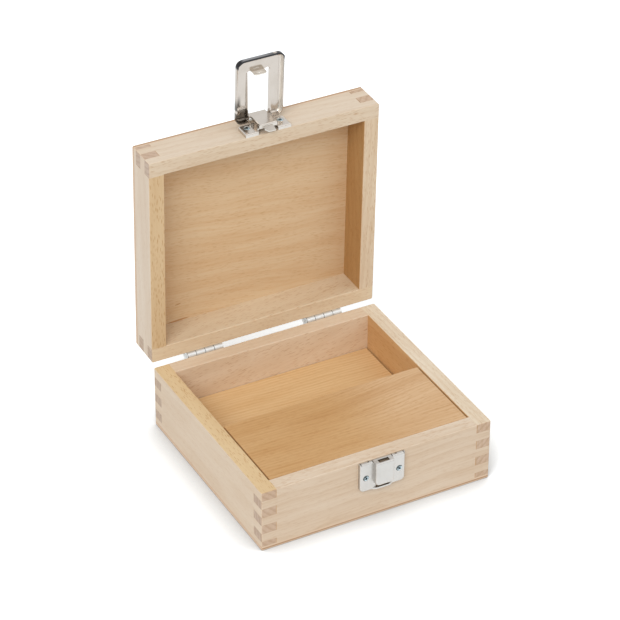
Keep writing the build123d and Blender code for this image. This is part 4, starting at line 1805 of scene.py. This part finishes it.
@dataclass
class Studio:
    """Floor, light and camera."""

    frame_pixels: float = 620.0
    sensor: float = 36.0
    focal_pixels: float = 2943.5
    position: tuple[float, float, float] = (-0.7019, -1.2885, 1.0823)
    yaw: float = math.radians(28.32)
    pitch: float = math.radians(33.69)
    roll: float = math.radians(0.35)
    floor_size: float = 12.0
    sky: float = 0.66
    paper: float = 0.8
    paper_mirrored: float = 1.36
    paper_seen: float = 1.58
    paper_tint: Colour = (0.94, 0.975, 1.0)
    contact_reach: float = 0.030
    contact_depth: float = 0.97
    contact_samples: int = 16
    lamps: tuple[Lamp, ...] = (
        Lamp("key", (-1.9, -1.7, 2.3), 1.6, 50.0),
        Lamp("fill", (1.8, -1.2, 1.8), 1.8, 8.0),
    )

    def build(self) -> None:
        """Set up everything that isn't part of the case."""
        self._world()
        self._floor()
        for lamp in self.lamps:
            self._lamp(lamp)
        self._camera()
        bpy.context.scene.view_settings.view_transform = "Standard"

    def _world(self) -> None:
        """Surround the case with white, which lights it less than it shows."""
        world = bpy.data.worlds.new("studio")
        bpy.context.scene.world = world
        bench = Bench(world)
        seen, mirrored = bench.rays()
        strength = seen.most(mirrored) * (1 - self.sky) + self.sky
        light = bench.node("ShaderNodeBackground", None, {"Color": (1, 1, 1), "Strength": strength})
        bench.close(light.outputs[0])

    def _floor(self) -> None:
        """Lay the floor, white to the camera except where the case shades it."""
        bpy.ops.object.select_all(action="DESELECT")
        bpy.ops.mesh.primitive_plane_add(size=self.floor_size, location=(0, 0, 0))
        floor = bpy.context.object
        floor.name = "floor"
        bench = Bench.for_material("floor_paper")
        seen, mirrored = bench.rays()
        nook = bench.node(
            "ShaderNodeAmbientOcclusion",
            {"samples": self.contact_samples},
            {"Distance": self.contact_reach},
        )
        open_share = Value(bench, nook.outputs["AO"])
        shade = 1.0 - (1.0 - open_share) * self.contact_depth * seen
        more_seen, more_mirrored = self.paper_seen - self.paper, self.paper_mirrored - self.paper
        paper = (seen * more_seen + mirrored * more_mirrored + self.paper) * shade
        tone = bench.tint(paper, self.paper_tint, 1.0)
        matt = bench.node("ShaderNodeBsdfDiffuse", None, {"Color": tone})
        bench.close(matt.outputs[0])
        floor.data.materials.append(bench.owner)

    @staticmethod
    def _lamp(lamp: Lamp) -> None:
        """Hang a lamp that points at the case.

        Args:
            lamp: Its place, size and power.
        """
        data = bpy.data.lights.new(lamp.name, "AREA")
        data.shape = "SQUARE"
        data.size = lamp.size
        data.energy = lamp.power
        hung = add(lamp.name, data)
        hung.location = lamp.place
        hung.rotation_euler = (-Vector(lamp.place)).to_track_quat("-Z", "Y").to_euler()

    def _camera(self) -> None:
        """Stand the camera where the photograph was taken from."""
        forward = math.cos(self.pitch)
        ahead = Vector(
            (math.sin(self.yaw) * forward, math.cos(self.yaw) * forward, -math.sin(self.pitch))
        )
        level = Vector((math.cos(self.yaw), -math.sin(self.yaw), 0))
        upright = level.cross(ahead)
        right = level * math.cos(self.roll) + upright * math.sin(self.roll)
        up = upright * math.cos(self.roll) - level * math.sin(self.roll)
        data = bpy.data.cameras.new("camera")
        data.sensor_width = self.sensor
        data.lens = self.focal_pixels * self.sensor / self.frame_pixels
        camera = add("camera", data)
        axes = Matrix((right, up, -ahead)).transposed().to_4x4()
        camera.matrix_world = Matrix.Translation(self.position) @ axes
        bpy.context.scene.camera = camera


PALE = srgb(222, 203, 179)
SIDE_ENDS = Ends(lean=0.2, tint=(0.75, 0.70, 0.70))
# The inside tones of the walls are partly the wood's own honey colour and partly painted shade,
# darkest on the lid's right wall.
BASE_BOARDS = {
    "front": Board(
        Tones(srgb(223, 203, 180), srgb(226, 200, 168), srgb(227, 210, 189)),
        Cut(-60.0, 70.0, 0.02, slope=-0.03, rings=0.3, streaks=0.45),
        SIDE_ENDS,
    ),
    "rear": Board(
        Tones(PALE, srgb(230, 209, 183), srgb(227, 206, 181)),
        Cut(-10.0, 60.0, 0.05, slope=-0.16, rings=0.2, rim_flecks=0.3, inner_flecks=0.9),
        SIDE_ENDS,
    ),
    "left": Board(
        Tones(srgb(220, 200, 176), srgb(218, 185, 144), srgb(226, 200, 158)),
        Cut(-70.0, 80.0, rings=0.12, streaks=0.2, flecks=0.3, rim_flecks=0.95),
    ),
    "right": Board(
        Tones(PALE, srgb(212, 173, 124), srgb(234, 220, 198)),
        Cut(-20.0, 80.0, 0.04, rings=0.35, rim_flecks=0.6),
    ),
}
# Here too the inside tones are partly painted shade.
LID_BOARDS = {
    "front": Board(
        Tones(srgb(226, 209, 188), srgb(218, 192, 158), srgb(222, 203, 178)),
        Cut(-50.0, 70.0, 0.03, rings=0.2, rim_flecks=0.8),
        SIDE_ENDS,
    ),
    "rear": Board(
        Tones(PALE, srgb(221, 202, 174), srgb(226, 204, 173)),
        Cut(-15.0, 80.0, 0.03, slope=-0.14, rings=0.2, rim_flecks=0.5, inner_flecks=0.9),
        SIDE_ENDS,
    ),
    "left": Board(
        Tones(srgb(221, 204, 184), srgb(210, 179, 139), srgb(217, 189, 149)),
        Cut(-40.0, 90.0, rings=0.12, streaks=0.2, flecks=0.25, rim_flecks=1.0),
    ),
    "right": Board(
        Tones(PALE, srgb(180, 140, 91), srgb(224, 203, 175)),
        Cut(-30.0, 60.0, 0.04, rings=0.35),
    ),
}
FILLING_BOARDS = {
    "insert_floor_board": Board(
        Tones(srgb(228, 194, 146), srgb(214, 176, 128), srgb(228, 194, 146)),
        Cut(-90.0, 40.0, 0.01, ring=2.4, waver=5.0, rings=0.36, streaks=0.45, flecks=0.3),
    ),
    "insert_front_block": Board(
        Tones(srgb(208, 168, 119), srgb(205, 164, 116), srgb(219, 184, 143)),
        Cut(-110.0, 30.0, 0.0, ring=2.3, waver=5.0, rings=0.28, streaks=0.55, flecks=0.45),
        sweep=Sweep(),
    ),
}
LID_KNOTS = (Knot(-50.0, 61.8, 9.5, 0.7, -0.04), Knot(-50.0, 49.7, 2.6, 0.45, -0.15))


def main() -> None:
    """Dress the case piece by piece and set up the studio."""
    logging.basicConfig(level=logging.INFO, format="%(name)s: %(message)s")
    case = Case()
    base = Tray(case, "base", "base_bottom_panel", 0.0, case.base_rim, 0.0, BASE_BOARDS, seed=1.3)
    rim, low = case.lid_rim, case.lid_top - case.ply
    lid = Tray(
        case, "lid", "lid_top_panel", case.opened, rim, low, LID_BOARDS, seed=41.9, knots=LID_KNOTS
    )
    for part in (base, lid, Filling(case), Hinges(case), Latch(case)):
        part.dress()
    Studio().build()


if __name__ == "__main__":
    main()
